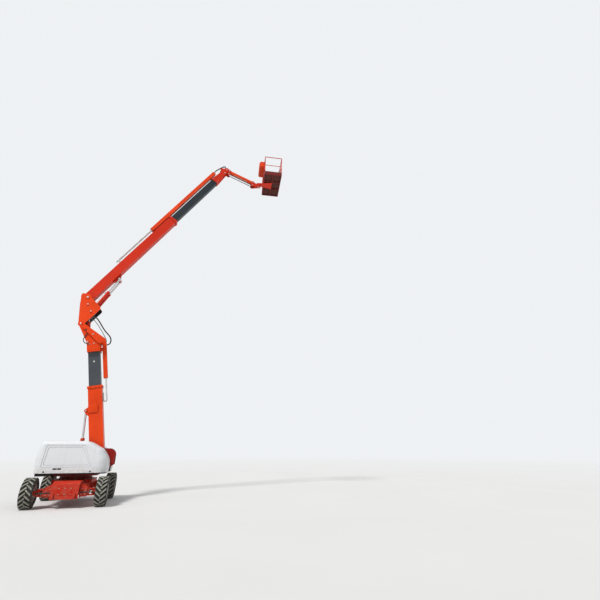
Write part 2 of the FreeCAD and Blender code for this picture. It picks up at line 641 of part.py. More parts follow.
def slewing_ring():
    outer = bar("Z", "ring_radius", "beam_high", "table_floor - pin_gap")
    node(cut(outer, bar("Z", "ring_gear - 60", "beam_high - lap", "table_floor")),
         "slewing_ring", BASE)


def turntable_frame():
    floor, top = "table_floor", "table_floor + table_thick"
    plate = prism("Z", (
        ("-table_tail", "-table_half + table_corner"), ("-table_tail + table_corner", "-table_half"),
        ("table_nose - table_corner", "-table_half"), ("table_nose", "-table_half + table_corner"),
        ("table_nose", "table_half - table_corner"), ("table_nose - table_corner", "table_half"),
        ("-table_tail + table_corner", "table_half"), ("-table_tail", "table_half - table_corner")),
        floor, top)
    cheek = (
        ("-cheek_tail", f"{top} - lap"), ("table_nose", f"{top} - lap"),
        ("cheek_nose", "tower_z - 170"), ("cheek_nose", "cheek_top"),
        ("tower_x - cheek_round", "cheek_top"), ("0", "lift_base_z + 200"))
    cheeks = [
        prism("Y", cheek, low, high, (("cheek_round", (3, 4)), ("60", (2,))))
        for low, high in (("-cheek_gap - cheek_thick", "-cheek_gap"),
                          ("cheek_gap", "cheek_gap + cheek_thick"))]
    nose = box(("cheek_nose - 60", "cheek_nose - 30"), ("-cheek_gap - 2", "cheek_gap + 2"),
               ("tower_z - 60", "cheek_top - cheek_round"))
    pin = bar("Y", "pin_radius", "-cheek_gap - cheek_thick", "cheek_gap + cheek_thick",
              "tower_x", "tower_z")
    caps = [bar("Y", "pin_cap", low, high, "tower_x", "tower_z")
            for low, high in (("-cheek_gap - cheek_thick - pin_cap_thick", "-cheek_gap"),
                              ("cheek_gap", "cheek_gap + cheek_thick + pin_cap_thick"))]
    ears = ear_pair("lift_base_x", "lift_base_z", f"{top} - lap")
    foot = bar("Y", "eye_radius * 0.6", "-ear_gap - ear_thick - 12", "ear_gap + ear_thick + 12",
               "lift_base_x", "lift_base_z")
    hole = bar("Y", "eye_radius + 4", "-eye_half - rest_gap", "eye_half + rest_gap",
               "lift_base_x", "lift_base_z")
    mount = cut(fuse(*ears, foot), hole)
    node(fuse(plate, *cheeks, nose, pin, *caps, mount), "turntable_frame", BASE)


def ear_pair(x, z, foot):
    """Two ear plates around a pin, standing on a level foot."""
    pieces = []
    for low, high in (("-ear_gap - ear_thick", "-ear_gap"), ("ear_gap", "ear_gap + ear_thick")):
        pieces.append(bar("Y", "ear_round", low, high, x, z))
        pieces.append(prism("Y", ((f"{x} - ear_round * 1.4", foot), (f"{x} + ear_round * 1.4", foot),
                                  (f"{x} + ear_round", z), (f"{x} - ear_round", z)), low, high))
    return pieces


def counterweight():
    side = ("ballast_slot", "ballast_half")
    slab = box(("-ballast_tail", "-ballast_front"), ("-ballast_half", "ballast_half"),
               ("ballast_low", "ballast_low + ballast_bridge"))
    notch = box(("-table_tail - slide_gap", "0"), ("-table_half - slide_gap", "table_half + slide_gap"),
                ("ballast_low - lap", "table_floor + table_thick + rest_gap / 2"))
    masses = []
    for low, high in (side, tuple(f"-{name}" for name in side[::-1])):
        profile = (("-ballast_tail", "ballast_low + 30"), ("-ballast_front", "ballast_low + 30"),
                   ("-ballast_front", "ballast_high"), ("-ballast_tail + 140", "ballast_high"),
                   ("-ballast_tail", "ballast_high - 300"))
        masses.append(prism("Y", profile, low, high))
    node(cut(fuse(slab, *masses), notch), "counterweight", BASE)


def hood_outline(inset, low):
    """Corners of a hood seen from the side, drawn in by an inset, above a lower edge."""
    return (
        (f"-hood_tail + hood_lean + {inset}", low), (f"hood_nose - hood_lean / 2 - {inset}", low),
        (f"hood_nose - {inset}", "hood_floor + hood_low"),
        (f"hood_nose - hood_lean - {inset}", "hood_floor + hood_knee"),
        (f"hood_nose - hood_brow - {inset} * 0.8", f"hood_roof - hood_brow_drop - {inset} / 2"),
        (f"hood_nose - hood_crown - {inset} * 0.4", f"hood_roof - {inset}"),
        (f"-hood_tail + hood_back + {inset} * 0.6", f"hood_roof - {inset}"),
        (f"-hood_tail + hood_shoulder + {inset}", f"hood_roof - hood_shoulder_drop - {inset} * 0.3"),
        (f"-hood_tail + {inset}", "hood_floor + hood_knee"))


def hood_form(way, inset):
    """The outer or, with an inset, the inner form of one hood."""
    is_inner = inset != "0"
    low = "hood_floor - hood_skin" if is_inner else "hood_floor"
    edge = "tray_inner + tray_thick + pin_gap"
    inner = f"{edge} - lap" if is_inner else edge
    outer = f"hood_outer - {inset}"
    span = (inner, outer) if way > 0 else (f"-({outer})", f"-({inner})")
    bends = (("hood_bend", (3, 4, 5)), ("hood_foot_bend", (6,)), ("hood_bend", (7, 8, 2)))
    body = prism("Y", hood_outline(inset, low), *span, bends)
    less = mm("hood_skin") if is_inner else 0
    side = way * (mm("hood_outer") - less)
    rounded = DOC.addObject("Part::Fillet", "long_edges")
    rounded.Base = body
    rounded.Edges = side_edges(body.Shape, side, less)
    return rounded


def side_edges(shape, side, less):
    """The edges round a hood's outer side, each with the radius at its two ends.

    The radius shrinks from the foot, where nose and tail differ, to that of the top edge.
    """
    nose, tail, roof = (mm(name) - less for name in ("hood_nose_round", "hood_tail_round", "hood_round"))
    low, high = mm("hood_floor") + mm("hood_low") * 1.5, mm("hood_roof") - mm("hood_lean") * 2
    foot = shape.BoundBox.ZMin
    near = mm("pin_gap")

    def radius(point):
        rise = min(max((point.z - low) / (high - low), 0), 1)
        end = nose if point.x > 0 else tail
        return round(end + (roof - end) * rise, 3)

    edges = []
    for number, edge in enumerate(shape.Edges, 1):
        points = [vertex.Point for vertex in edge.Vertexes]
        at_side = all(abs(point.y - side) < near for point in points)
        at_foot = all(abs(point.z - foot) < near for point in points)
        if at_side and not at_foot:
            edges.append((number, radius(points[0]), radius(points[1])))
    return edges


def pressed(way, inset, depth):
    """What a step of the pressed panel takes out of a hood's side."""
    face, deep = "hood_outer + lap", f"hood_outer - {depth}"
    span = (deep, face) if way > 0 else (f"-({face})", f"-({deep})")
    low, high = f"hood_floor + panel_low + {inset}", f"hood_roof - panel_high - {inset}"
    rear, front = f"-hood_tail + panel_tail + {inset}", f"hood_nose - panel_nose - {inset}"
    corners = ((rear, low), (front, low), (f"{front} - panel_slope", high), (f"{rear} + panel_lean", high))
    return prism("Y", corners, *span, (("panel_round", (0, 1, 2, 3)),))


def hood(way, name):
    face, deep = "hood_outer + lap", "hood_outer - grip_depth"
    grip = box(("-grip_x - grip_half", "grip_half - grip_x"),
               (deep, face) if way > 0 else (f"-({face})", f"-({deep})"),
               ("hood_floor + grip_low", "hood_floor + grip_high"))
    steps = pressed(way, "0", "panel_step"), pressed(way, "panel_rim", "panel_step * 2")
    node(cut(hood_form(way, "0"), hood_form(way, "hood_skin"), *steps, grip), name, BASE)


def tray(way, name):
    """The floor and inner wall under one hood."""
    def span(low, high):
        return (low, high) if way > 0 else (f"-({high})", f"-({low})")
    top = "hood_floor - slide_gap"
    front = "hood_nose - tray_short"
    near, far = span("tray_inner", "tray_outer")
    outer = 2 if way > 0 else 1
    floor = prism("Z", (("-ballast_front + slide_gap", near), (front, near), (front, far),
                        ("-ballast_front + slide_gap", far)),
                  f"{top} - tray_thick", top, (("tray_round", (outer,)),))
    form = hood_outline("wall_short", f"{top} - tray_thick")
    rest = "ballast_high + slide_gap"
    wall = prism("Y", (("-ballast_front + slide_gap", f"{top} - tray_thick"), (front, form[0][1]), *form[2:8],
                       ("-hood_tail + hood_shoulder", rest), ("-ballast_front + slide_gap", rest)),
                 *span("tray_inner", "tray_inner + tray_thick"))
    legs = box(("-ballast_front + slide_gap", "table_nose - table_corner - 60"),
               span("tray_inner", "table_half"), ("table_floor + table_thick", f"{top} - tray_thick"))
    node(fuse(floor, wall, legs), name, BASE)


def power_units():
    floor = "hood_floor - slide_gap"
    low, high = "-engine_y - engine_width / 2", "-engine_y + engine_width / 2"
    engine = prism("X", ((low, floor), (high, floor), (high, f"{floor} + engine_height"),
                         (low, f"{floor} + engine_height")),
                   "-engine_length / 2 - 60", "engine_length / 2 - 60")
    node(engine, "engine_block", BASE)
    for name, x in (("fuel_tank", "-tank_length / 2 - 20"), ("oil_tank", "tank_length / 2 + 40")):
        tank = prism("X", (
            ("engine_y - tank_width / 2", floor), ("engine_y + tank_width / 2", floor),
            ("engine_y + tank_width / 2", f"{floor} + tank_height"),
            ("engine_y - tank_width / 2", f"{floor} + tank_height")),
            f"{x} - tank_length / 2", f"{x} + tank_length / 2", (("60", (0, 1, 2, 3)),))
        node(tank, name, BASE)


def hollow_tube(start, end, depth, width, wall):
    """A square tube along X, open at both ends."""
    def shell(extra, grow):
        return box((f"{start} - {extra}", f"{end} + {extra}"),
                   (f"-{width} / 2 - {grow}", f"{width} / 2 + {grow}"),
                   (f"-{depth} / 2 - {grow}", f"{depth} / 2 + {grow}"))
    return shell("0", "0"), shell("lap", f"-{wall}")


def mouth(end, collar, depth, width, outer_depth, outer_width):
    """The wear pads in the mouth of a section, and the way that they leave for the inner one."""
    pads = box((f"{end} - {collar}", end), (f"-{outer_width} / 2", f"{outer_width} / 2"),
               (f"-{outer_depth} / 2", f"{outer_depth} / 2"))
    guide = box((f"{end} - {collar} - lap", f"{end} + lap"),
                (f"-{width} / 2 - pin_gap", f"{width} / 2 + pin_gap"),
                (f"-{depth} / 2 - pin_gap", f"{depth} / 2 + pin_gap"))
    return pads, guide


def tower_base():
    tube, bore = hollow_tube("-tower_butt", "tower_length", "tower_depth", "tower_width", "tower_wall")
    collar = box(("tower_length - tower_collar", "tower_length"),
                 ("-tower_width / 2 - collar_proud", "tower_width / 2 + collar_proud"),
                 ("-tower_depth / 2 - collar_proud", "tower_depth / 2 + collar_proud"))
    boss = bar("Y", "pin_cap + 24", "-cheek_gap + rest_gap", "cheek_gap - rest_gap")
    hole = bar("Y", "pin_radius + 0.1", "-cheek_gap", "cheek_gap")
    face = "tower_depth / 2 - 4"
    ears = []
    for low, high in (("-ear_gap - ear_thick", "-ear_gap"), ("ear_gap", "ear_gap + ear_thick")):
        ears.append(prism("Y", (
            ("lift_lug_along - 260", face), ("lift_lug_along + 120", face),
            ("lift_lug_along + ear_round * 0.8", "lift_lug_off + ear_round * 0.6"),
            ("lift_lug_along - ear_round", "lift_lug_off + ear_round * 0.7")), low, high))
        ears.append(bar("Y", "ear_round", low, high, "lift_lug_along", "lift_lug_off"))
    heads = [bar("Y", "eye_radius * 0.6", low, high, "lift_lug_along", "lift_lug_off")
             for low, high in (("-ear_gap - ear_thick - 12", "-eye_half - rest_gap"),
                               ("eye_half + rest_gap", "ear_gap + ear_thick + 12"))]
    pads, guide = mouth("tower_length", "tower_collar", "tower_inner_depth", "tower_inner_width",
                        "tower_depth", "tower_width")
    shell = cut(fuse(cut(fuse(tube, collar), bore), pads), guide)
    node(cut(fuse(shell, boss, *ears, *heads), hole), "tower_base", TOWER)


def tower_inner():
    tube, bore = hollow_tube("tower_inner_start", "tower_inner_end", "tower_inner_depth",
                             "tower_inner_width", "tower_wall")
    node(cut(tube, bore), "tower_inner", TOWER)


def tower_head():
    """Two side plates and straps around the end of the inner section, up to the elbow pin."""
    half = "tower_inner_depth / 2 + head_plate"
    side = "upright_half + upright_plate + rest_gap"
    plates = []
    for low, high in ((f"-({side} + head_plate)", f"-({side})"), (side, f"{side} + head_plate")):
        plates.append(prism("Y", (
            ("head_start", f"-({half})"), ("head_end", f"-({half})"),
            ("elbow_along + elbow_round * 0.7", "elbow_off - elbow_round * 0.72"),
            ("elbow_along - elbow_round * 0.9", "elbow_off + elbow_round * 0.5"),
            ("head_end - 160", half), ("head_start", half)), low, high))
        plates.append(bar("Y", "elbow_round", low, high, "elbow_along", "elbow_off"))
    holes = bar("Y", "head_hole", f"-({side}) - 60", f"{side} + 60",
                "elbow_along - hole_along", "elbow_off - hole_off")
    pin = bar("Y", "pin_radius", f"-({side}) - head_plate - pin_cap_thick",
              f"{side} + head_plate + pin_cap_thick", "elbow_along", "elbow_off")
    level = bar("Y", "eye_radius * 0.6", f"-({side}) - head_plate - 12", f"{side} + head_plate + 12",
                "level_low_along", "level_low_off")
    gap = bar("Y", "eye_radius + 4", "-eye_half - rest_gap", "eye_half + rest_gap",
              "level_low_along", "level_low_off")
    spacers = [bar("Y", "eye_radius", low, high, "level_low_along", "level_low_off")
               for low, high in ((f"-({side})", "-eye_half - rest_gap"), ("eye_half + rest_gap", side))]
    straps = [box(("head_start", "tower_inner_end"), (f"-({side})", side), span)
              for span in ((f"-({half})", "-tower_inner_depth / 2"), ("tower_inner_depth / 2", half))]
    fill = [box(("head_start", "tower_inner_end - 40"), span,
                ("-tower_inner_depth / 2", "tower_inner_depth / 2"))
            for span in (("tower_inner_width / 2", side), (f"-({side})", "-tower_inner_width / 2"))]
    whole = fuse(*plates, pin, level, *spacers, *straps, *fill)
    node(cut(whole, holes, gap), "tower_head", TOWER)


def upright():
    """Two plates and a back web between the elbow pin and the boom pivot."""
    corners = (("-95", "-20"), ("60", "-80"), ("upright_nose_x", "upright_nose_z - 40"),
               ("upright_nose_x", "upright_nose_z + 40"), ("knee_x + knee_round", "knee_z"),
               ("knee_x", "knee_z + knee_round"), ("-upright_back + 40", "knee_z + knee_round"),
               ("-upright_back", "knee_z + 60"))
    outer, inner = "upright_half + upright_plate", "upright_half"
    plates = []
    for low, high in ((f"-({outer})", f"-{inner}"), (inner, outer)):
        plates.append(prism("Y", corners, low, high, (("50", (3,)),)))
        plates.append(bar("Y", "elbow_round", low, high))
        plates.append(bar("Y", "knee_round", low, high, "knee_x", "knee_z"))
    web = prism("Y", (("-118", "150"), ("-96", "150"), ("-upright_back + 38", "knee_z - 240"),
                      ("-upright_back + 12", "knee_z - 240")), f"-{inner} - lap", f"{inner} + lap")
    across, up = "flange_thick * 0.82", "flange_thick * 0.57"
    edge = (("62", "-70"), ("flange_x", "flange_z"), (f"flange_x - {across}", f"flange_z + {up}"),
            (f"62 - {across}", f"{up} - 70"))
    flanges = [prism("Y", edge, low, high) for low, high in ((f"-{inner} - lap", "-flange_inner"),
                                                             ("flange_inner", f"{inner} + lap"))]
    sleeve = bar("Y", "pin_radius + 26", f"-{inner} - lap", f"{inner} + lap")
    hole = bar("Y", "pin_radius + 0.1", "-400", "400")
    pin = bar("Y", "pin_radius", f"-({outer}) - pin_cap_thick", f"{outer} + pin_cap_thick",
              "knee_x", "knee_z")
    caps = [bar("Y", "pin_cap", low, high, "knee_x", "knee_z")
            for low, high in ((f"-({outer}) - pin_cap_thick", f"-({outer}) + lap"),
                              (f"{outer} - lap", f"{outer} + pin_cap_thick"))]
    level_pin = bar("Y", "eye_radius * 0.6", f"-({outer}) - 12", f"{outer} + 12",
                    "level_top_x", "level_top_z")
    level_gap = bar("Y", "eye_radius + 4", "-eye_half - rest_gap", "eye_half + rest_gap",
                    "level_top_x", "level_top_z")
    feet = []
    for low, high in ((f"-({outer}) - 12", "-twin_y + twin_half + rest_gap"),
                      ("twin_y - twin_half - rest_gap", f"{outer} + 12")):
        feet.append(bar("Y", "eye_radius * 0.6", low, high, "boom_foot_x", "boom_foot_z"))
    foot_gaps = [bar("Y", "twin_barrel + 4", f"{way} * twin_y - twin_half - rest_gap",
                     f"{way} * twin_y + twin_half + rest_gap", "boom_foot_x", "boom_foot_z")
                 for way in (-1, 1)]
    stubs = [cut(foot, gap) for foot, gap in zip(feet, foot_gaps)]
    whole = fuse(*plates, web, *flanges, sleeve, pin, *caps, cut(level_pin, level_gap), *stubs)
    node(cut(whole, hole), "upright", ELBOW)


def cylinder(name, start, end, barrel, rod, mouth, ways=("0",), half="eye_half"):
    """A hydraulic cylinder between two pins: its barrel node and its rod node."""
    frame = aimed(start, end)
    length = (end - start).Length
    barrels = []
    rods = []
    for y in ways:
        eye = bar("Y", "eye_radius", f"{y} - {half}", f"{y} + {half}")
        neck = bar("X", f"{half} - 4", "eye_radius * 0.6", "ear_round + 13", y)
        tube = bar("X", barrel, "ear_round + 12", mouth, y)
        gland = bar("X", f"{barrel} + 8", f"{mouth} - 70", mouth, y)
        bore = bar("X", f"{rod} + rest_gap", "eye_radius * 2", f"{mouth} + lap", y)
        barrels.append(cut(fuse(eye, neck, tube, gland), bore))
        stem = bar("X", rod, f"{mouth} - rod_lap", f"{length} - eye_radius * 0.5", y)
        far_eye = bar("Y", "eye_radius", f"{y} - {half}", f"{y} + {half}", str(length))
        rods.append(fuse(stem, far_eye))
    for label, pieces in (("_barrel", barrels), ("_rod", rods)):
        whole = pieces[0] if len(pieces) == 1 else fuse(*pieces)
        node(whole, name + label, frame)


def cylinders():
    lift_foot = Vector(mm("slew_x") + mm("lift_base_x"), 0, mm("lift_base_z"))
    cylinder("tower_cylinder", lift_foot, across(TOWER, mm("lift_lug_along"), mm("lift_lug_off")),
             "lift_barrel", "lift_rod", "lift_barrel_end")
    cylinder("level_cylinder", across(TOWER, mm("level_low_along"), mm("level_low_off")),
             across(ELBOW, mm("level_top_x"), mm("level_top_z")),
             "level_barrel", "level_rod", "level_barrel_end")
    cylinder("boom_cylinders", across(ELBOW, mm("boom_foot_x"), mm("boom_foot_z")),
             across(BOOM, mm("boom_lug_along"), -mm("boom_lug_off")),
             "twin_barrel", "twin_rod", "twin_barrel_end", ("-twin_y", "twin_y"), "twin_half")


def boom_base():
    tube, bore = hollow_tube("-boom_butt", "boom_length", "boom_depth", "boom_width", "boom_wall")
    collar = box(("boom_length - boom_collar", "boom_length"),
                 ("-boom_width / 2 - collar_proud", "boom_width / 2 + collar_proud"),
                 ("-boom_depth / 2 - collar_proud", "boom_depth / 2 + collar_proud"))
    boss = bar("Y", "pin_cap + 24", "-upright_half + rest_gap", "upright_half - rest_gap")
    hole = bar("Y", "pin_radius + 0.1", "-upright_half", "upright_half")
    lug = prism("Y", (
        ("boom_lug_along - 260", "-boom_depth / 2 + 4"), ("boom_lug_along - ear_round", "-boom_lug_off"),
        ("boom_lug_along + ear_round", "-boom_lug_off"), ("boom_lug_along + 260", "-boom_depth / 2 + 4")),
        "-boom_lug_half", "boom_lug_half")
    nose = bar("Y", "ear_round", "-boom_lug_half", "boom_lug_half", "boom_lug_along", "-boom_lug_off")
    pads, guide = mouth("boom_length", "boom_collar", "boom_inner_depth", "boom_inner_width",
                        "boom_depth", "boom_width")
    shell = cut(fuse(cut(fuse(tube, collar), bore), pads), guide)
    node(cut(fuse(shell, boss, lug, nose), hole), "boom_base", BOOM)


def boom_inner():
    tube, bore = hollow_tube("boom_inner_start", "boom_reach - tip_fork", "boom_inner_depth",
                             "boom_inner_width", "boom_wall")
    node(cut(tube, bore), "boom_inner", BOOM)


def boom_tip():
    """The orange end of the boom: a sleeve on the inner section and two plates to the tip pin."""
    depth, width = "boom_inner_depth", "boom_inner_width"
    side, top = f"{width} / 2 + tip_plate", f"{depth} / 2 + tip_plate"
    rear, fork, front = "boom_reach - tip_fork - tip_sleeve", "boom_reach - tip_fork", "tip_lap"
    outer = box((rear, f"{fork} + {front}"), (f"-({side})", side), (f"-({top})", top))
    inner = box((f"{rear} - lap", f"{fork} + {front} + lap"), (f"-{width} / 2", f"{width} / 2"),
                (f"-{depth} / 2", f"{depth} / 2"))
    plates = []
    gap = "knuckle_half + knuckle_plate + rest_gap"
    for low, high in ((f"-({side})", f"-({gap})"), (gap, side)):
        plates.append(prism("Y", (
            (fork, f"-({top})"), (fork, top),
            ("boom_reach - 40", "tip_round * 0.97"), ("boom_reach - 40", "-tip_round * 0.97")), low, high))
        plates.append(bar("Y", "tip_round", low, high, "boom_reach"))
    pin = bar("Y", "jib_pin", f"-({side}) - 10", f"{side} + 10", "boom_reach")
    node(fuse(cut(outer, inner), *plates, pin), "boom_tip", BOOM)


def knuckle_head():
    """The plates that stay level at the boom's tip and carry the jib."""
    pins = (("0", "0"), ("bell_x", "bell_z"), ("jib_pivot_x", "jib_pivot_z"),
            ("jib_pivot_x + link_x", "jib_pivot_z + link_z"))
    pieces = []
    for low, high in (("-knuckle_half - knuckle_plate", "-knuckle_half"),
                      ("knuckle_half", "knuckle_half + knuckle_plate")):
        for x, z in pins:
            pieces.append(bar("Y", "knuckle_round", low, high, x, z))
        pieces.append(prism("Y", (
            ("bell_x", "bell_z - knuckle_round"), (pins[3][0], f"{pins[3][1]} - knuckle_round"),
            (f"{pins[2][0]} + knuckle_round", pins[2][1]), ("0", "knuckle_round"),
            ("bell_x", "bell_z + knuckle_round")), low, high))
    for x, z in pins[1:]:
        pieces.append(bar("Y", "jib_pin", "-knuckle_half - knuckle_plate",
                          "knuckle_half + knuckle_plate", x, z))
    spacer = bar("Y", "jib_pin + 22", "-knuckle_half", "knuckle_half")
    hole = bar("Y", "jib_pin + 0.1", "-knuckle_half * 3", "knuckle_half * 3")
    node(cut(fuse(*pieces, spacer), hole), "knuckle_head", TIP)


def jib_arm():
    reach = "jib_length"
    arm = box(("-10", f"{reach} + 10"), ("-jib_width / 2", "jib_width / 2"),
              ("-jib_depth / 2 + 12", "jib_depth / 2 + 12"))
    ends = []
    holes = []
    for x in ("0", reach):
        ends.append(bar("Y", "jib_depth / 2", "-jib_width / 2", "jib_width / 2", x))
        holes.append(bar("Y", "jib_pin + 0.1", "-knuckle_half", "knuckle_half", x))
    node(cut(fuse(arm, *ends), *holes), "jib_arm", JIB)


def jib_link():
    """Two rods beside the jib arm that keep the basket level."""
    start = across(frame_at(JIB.Base.x, JIB.Base.z), mm("link_x"), mm("link_z"))
    pieces = []
    holes = []
    for way in (-1, 1):
        pieces.append(bar("X", "link_radius", "0", "jib_length", f"{way} * link_y"))
        names = ("link_inner", "knuckle_half - rest_gap")
        low, high = names if way > 0 else (f"-({names[1]})", f"-({names[0]})")
        for x in ("0", "jib_length"):
            pieces.append(bar("Y", "jib_pin + 18", low, high, x))
    for x in ("0", "jib_length"):
        holes.append(bar("Y", "jib_pin + 0.1", "-knuckle_half", "knuckle_half", x))
    node(cut(fuse(*pieces), *holes), "jib_link", frame_at(start.x, start.z, mm("jib_angle")))


def basket_carrier():
    """Plates on the jib's outer pins and the rotator that the basket turns on."""
    pieces = []
    top = "basket_floor - cross_depth - 60"
    for low, high in (("-knuckle_half - knuckle_plate", "-knuckle_half"),
                      ("knuckle_half", "knuckle_half + knuckle_plate")):
        pieces.append(bar("Y", "knuckle_round", low, high))
        pieces.append(bar("Y", "knuckle_round", low, high, "link_x", "link_z"))
        pieces.append(prism("Y", (
            ("link_x - knuckle_round", "link_z"), ("link_x", "link_z - knuckle_round"),
            ("rotator_x", "rotator_low"), ("rotator_x", top), ("rotator_x - rotator_radius - 70", top),
            ("0", "knuckle_round"), ("-knuckle_round", "0")), low, high))
    pieces.append(bar("Y", "jib_pin", "-knuckle_half - knuckle_plate", "knuckle_half + knuckle_plate"))
    for low, high in (("-knuckle_half - knuckle_plate", "rest_gap - link_inner"),
                      ("link_inner - rest_gap", "knuckle_half + knuckle_plate")):
        pieces.append(bar("Y", "jib_pin", low, high, "link_x", "link_z"))
    drum = bar("Z", "rotator_radius", "rotator_low", f"{top} + 30 - rest_gap", "rotator_x", "0")
    node(fuse(*pieces, drum), "basket_carrier", CARRIER)


def basket_bracket():
    """The turning plate on the rotator and its two arms to the basket's floor frame."""
    high = "-cross_depth"
    low = "-cross_depth - 30"
    disc = bar("Z", "rotator_radius + 12", low, high)
    arm = prism("Z", (("0", "-rotator_radius"), ("basket_gap + basket_depth / 2", "-260"),
                      ("basket_gap + basket_depth / 2", "260"), ("0", "rotator_radius")), low, high)
    back = box(("basket_gap - 46", "basket_gap - 26"), ("-160", "160"), (low, "360"))
    tie = box(("basket_gap - 46", "basket_gap - 6"), ("-160", "160"), ("300", "360"))
    node(fuse(disc, arm, back, tie), "basket_bracket", BASKET)


def basket_frame():
    """Floor members, deck plate and toe board."""
    near, far = "basket_gap", "basket_gap + basket_depth"
    left, right = "-basket_length / 2", "basket_length / 2"
    deck = box((near, far), (left, right), ("-deck_plate", "0"))
    members = []
    for x in (near, f"{near} + basket_depth / 2 - cross_width / 2", f"{far} - cross_width"):
        members.append(box((x, f"{x} + cross_width"), (left, right), ("-cross_depth", "-deck_plate")))
    for y in (left, "-cross_width / 2 - basket_length / 6", "-cross_width / 2 + basket_length / 6",
              f"{right} - cross_width"):
        members.append(box((near, far), (y, f"{y} + cross_width"), ("-cross_depth", "-deck_plate")))
    outer = box((near, far), (left, right), ("0", "toe_height"))
    inner = box((f"{near} + toe_thick", f"{far} - toe_thick"),
                (f"{left} + toe_thick", f"{right} - toe_thick"), ("-lap", "toe_height + lap"))
    node(fuse(deck, *members, cut(outer, inner)), "basket_frame", BASKET)


def basket_rails():
    """Posts, mid rail and top rail round the basket, open at the gate's place."""
    r = "rail_radius"
    near, far = f"basket_gap + {r}", f"basket_gap + basket_depth - {r}"
    left, right = f"-basket_length / 2 + {r}", f"basket_length / 2 - {r}"
    middle = "basket_gap + basket_depth / 2"
    gate_low, gate_high = f"{middle} - gate_width / 2", f"{middle} + gate_width / 2"
    pieces = []
    for z, radius in ((f"basket_height - {r}", r), ("basket_height / 2", "mid_rail_radius")):
        pieces.append(bar("Y", radius, left, right, near, z))
        pieces.append(bar("Y", radius, left, right, far, z))
        pieces.append(bar("X", radius, near, far, left, z))
        pieces.append(bar("X", radius, near, gate_low, right, z))
        pieces.append(bar("X", radius, gate_high, far, right, z))
    posts = [(near, left), (far, left), (near, right), (far, right), (gate_low, right), (gate_high, right),
             (near, "-console_length / 2"), (near, "console_length / 2"),
             (far, "-basket_length / 6"), (far, "basket_length / 6")]
    for x, y in posts:
        pieces.append(bar("Z", "post_radius", "toe_height", f"basket_height - {r}", x, y))
    corners = [(near, left), (far, left), (near, right), (far, right), (gate_low, right), (gate_high, right)]
    for x, y in corners:
        ball = bind(DOC.addObject("Part::Sphere", "corner"), Radius=f"{r} + 2")
        pieces.append(set_at(ball, x, y, f"basket_height - {r}"))
    node(fuse(*pieces), "basket_rails", BASKET)


def basket_gate():
    """A swing gate between two posts at one end of the basket, its sleeves round one of them."""
    r = "rail_radius"
    y = f"basket_length / 2 - {r}"
    post = "basket_gap + basket_depth / 2 - gate_width / 2"
    low = f"{post} + {r} + 4"
    hinges = ("toe_height + 40", "basket_height / 2 + 60")
    high = f"basket_gap + basket_depth / 2 + gate_width / 2 - {r} - gate_gap"
    pieces = [bar("X", "rail_radius * 0.8", low, high, y, z)
               for z in ("basket_height - rail_radius", *hinges)]
    for x in (f"{low} + {r} * 2", f"{high} - {r}"):
        pieces.append(bar("Z", "rail_radius * 0.8", "toe_height + 40", "basket_height - rail_radius", x, y))
    bores = []
    for z in hinges:
        pieces.append(bar("Z", "post_radius + 9", f"{z} - 30", f"{z} + 30", post, y))
        bores.append(bar("Z", "post_radius + pin_gap", f"{z} - 40", f"{z} + 40", post, y))
    node(cut(fuse(*pieces), *bores), "basket_gate", BASKET)


def control_console():
    far = "basket_gap - pin_gap"
    near = f"{far} - console_depth"
    top = "console_low + console_height"
    profile = ((far, "console_low"), (far, top), (f"{near} + 90", top), (near, f"{top} - 90"),
               (near, "console_low + 60"), (f"{near} + 60", "console_low"))
    node(prism("Y", profile, "-console_length / 2", "console_length / 2"), "control_console", BASKET)


def hose_tube(start, end, width, off, deep, anchor, travel, way):
    """A square tube beside a boom section, slotted so that it slides over its chain.

    way is the side of the section that the tube lies on.
    """
    def span(low, high):
        return (low, high) if way > 0 else (f"-({high})", f"-({low})")
    tube = box((start, end), (f"-{width} / 2", f"{width} / 2"), span(off, f"{off} + {deep}"))
    bore = box((f"{start} - lap", f"{end} - 60"), (f"tube_wall - {width} / 2", f"{width} / 2 - tube_wall"),
               span(f"{off} + tube_wall", f"{off} + {deep} - tube_wall"))
    slot = box((f"{start} - lap", f"{anchor} + {travel} + 40"), ("-chain_slot", "chain_slot"),
               span(f"{off} - lap", f"{off} + tube_wall + lap"))
    return cut(tube, bore, slot)


def hose_guard():
    """The guide that takes the hoses across the tower head's near side, up to the elbow."""
    face = "upright_half + upright_plate + rest_gap + head_plate"
    near, far = f"-({face} + guide_gap)", f"-({face} + guide_gap + guide_thick)"
    low, high = "-tower_tube_off - tower_tube_deep", "-tower_tube_off"
    start, end = "tower_tube_end - guide_wide", "tower_tube_end"
    strap = "tower_inner_depth / 2 + head_plate"
    duct = box((f"{start} - duct_back", f"{end} - duct_back"), (far, "tower_tube_y / 2"),
               (f"-({strap} + duct_deep)", f"-({strap} + rest_gap)"))
    neck = box((start, end), ("-tower_tube_y / 2", "tower_tube_y / 2"),
               (f"{high} - lap", f"-({strap} + duct_deep) + lap"))
    stop_x, stop_z = "elbow_along - guide_short", "elbow_off - guide_short"
    half = "guide_wide * 0.35"
    corners = ((start, low), (end, low), (f"{stop_x} + {half}", f"{stop_z} - {half}"),
               (f"{stop_x} - {half}", f"{stop_z} + {half}"), (start, f"-{strap}"))
    guide = prism("Y", corners, far, near)
    hole_x, hole_z = "elbow_along - hole_along", "elbow_off - hole_off"
    seat = bar("Y", "head_hole", near, f"-({face})", hole_x, hole_z)
    hole = bar("Y", "head_hole - tube_wall * 2", f"{far} - lap", f"-({face}) + lap", hole_x, hole_z)
    return duct, neck, cut(fuse(guide, seat), hole)


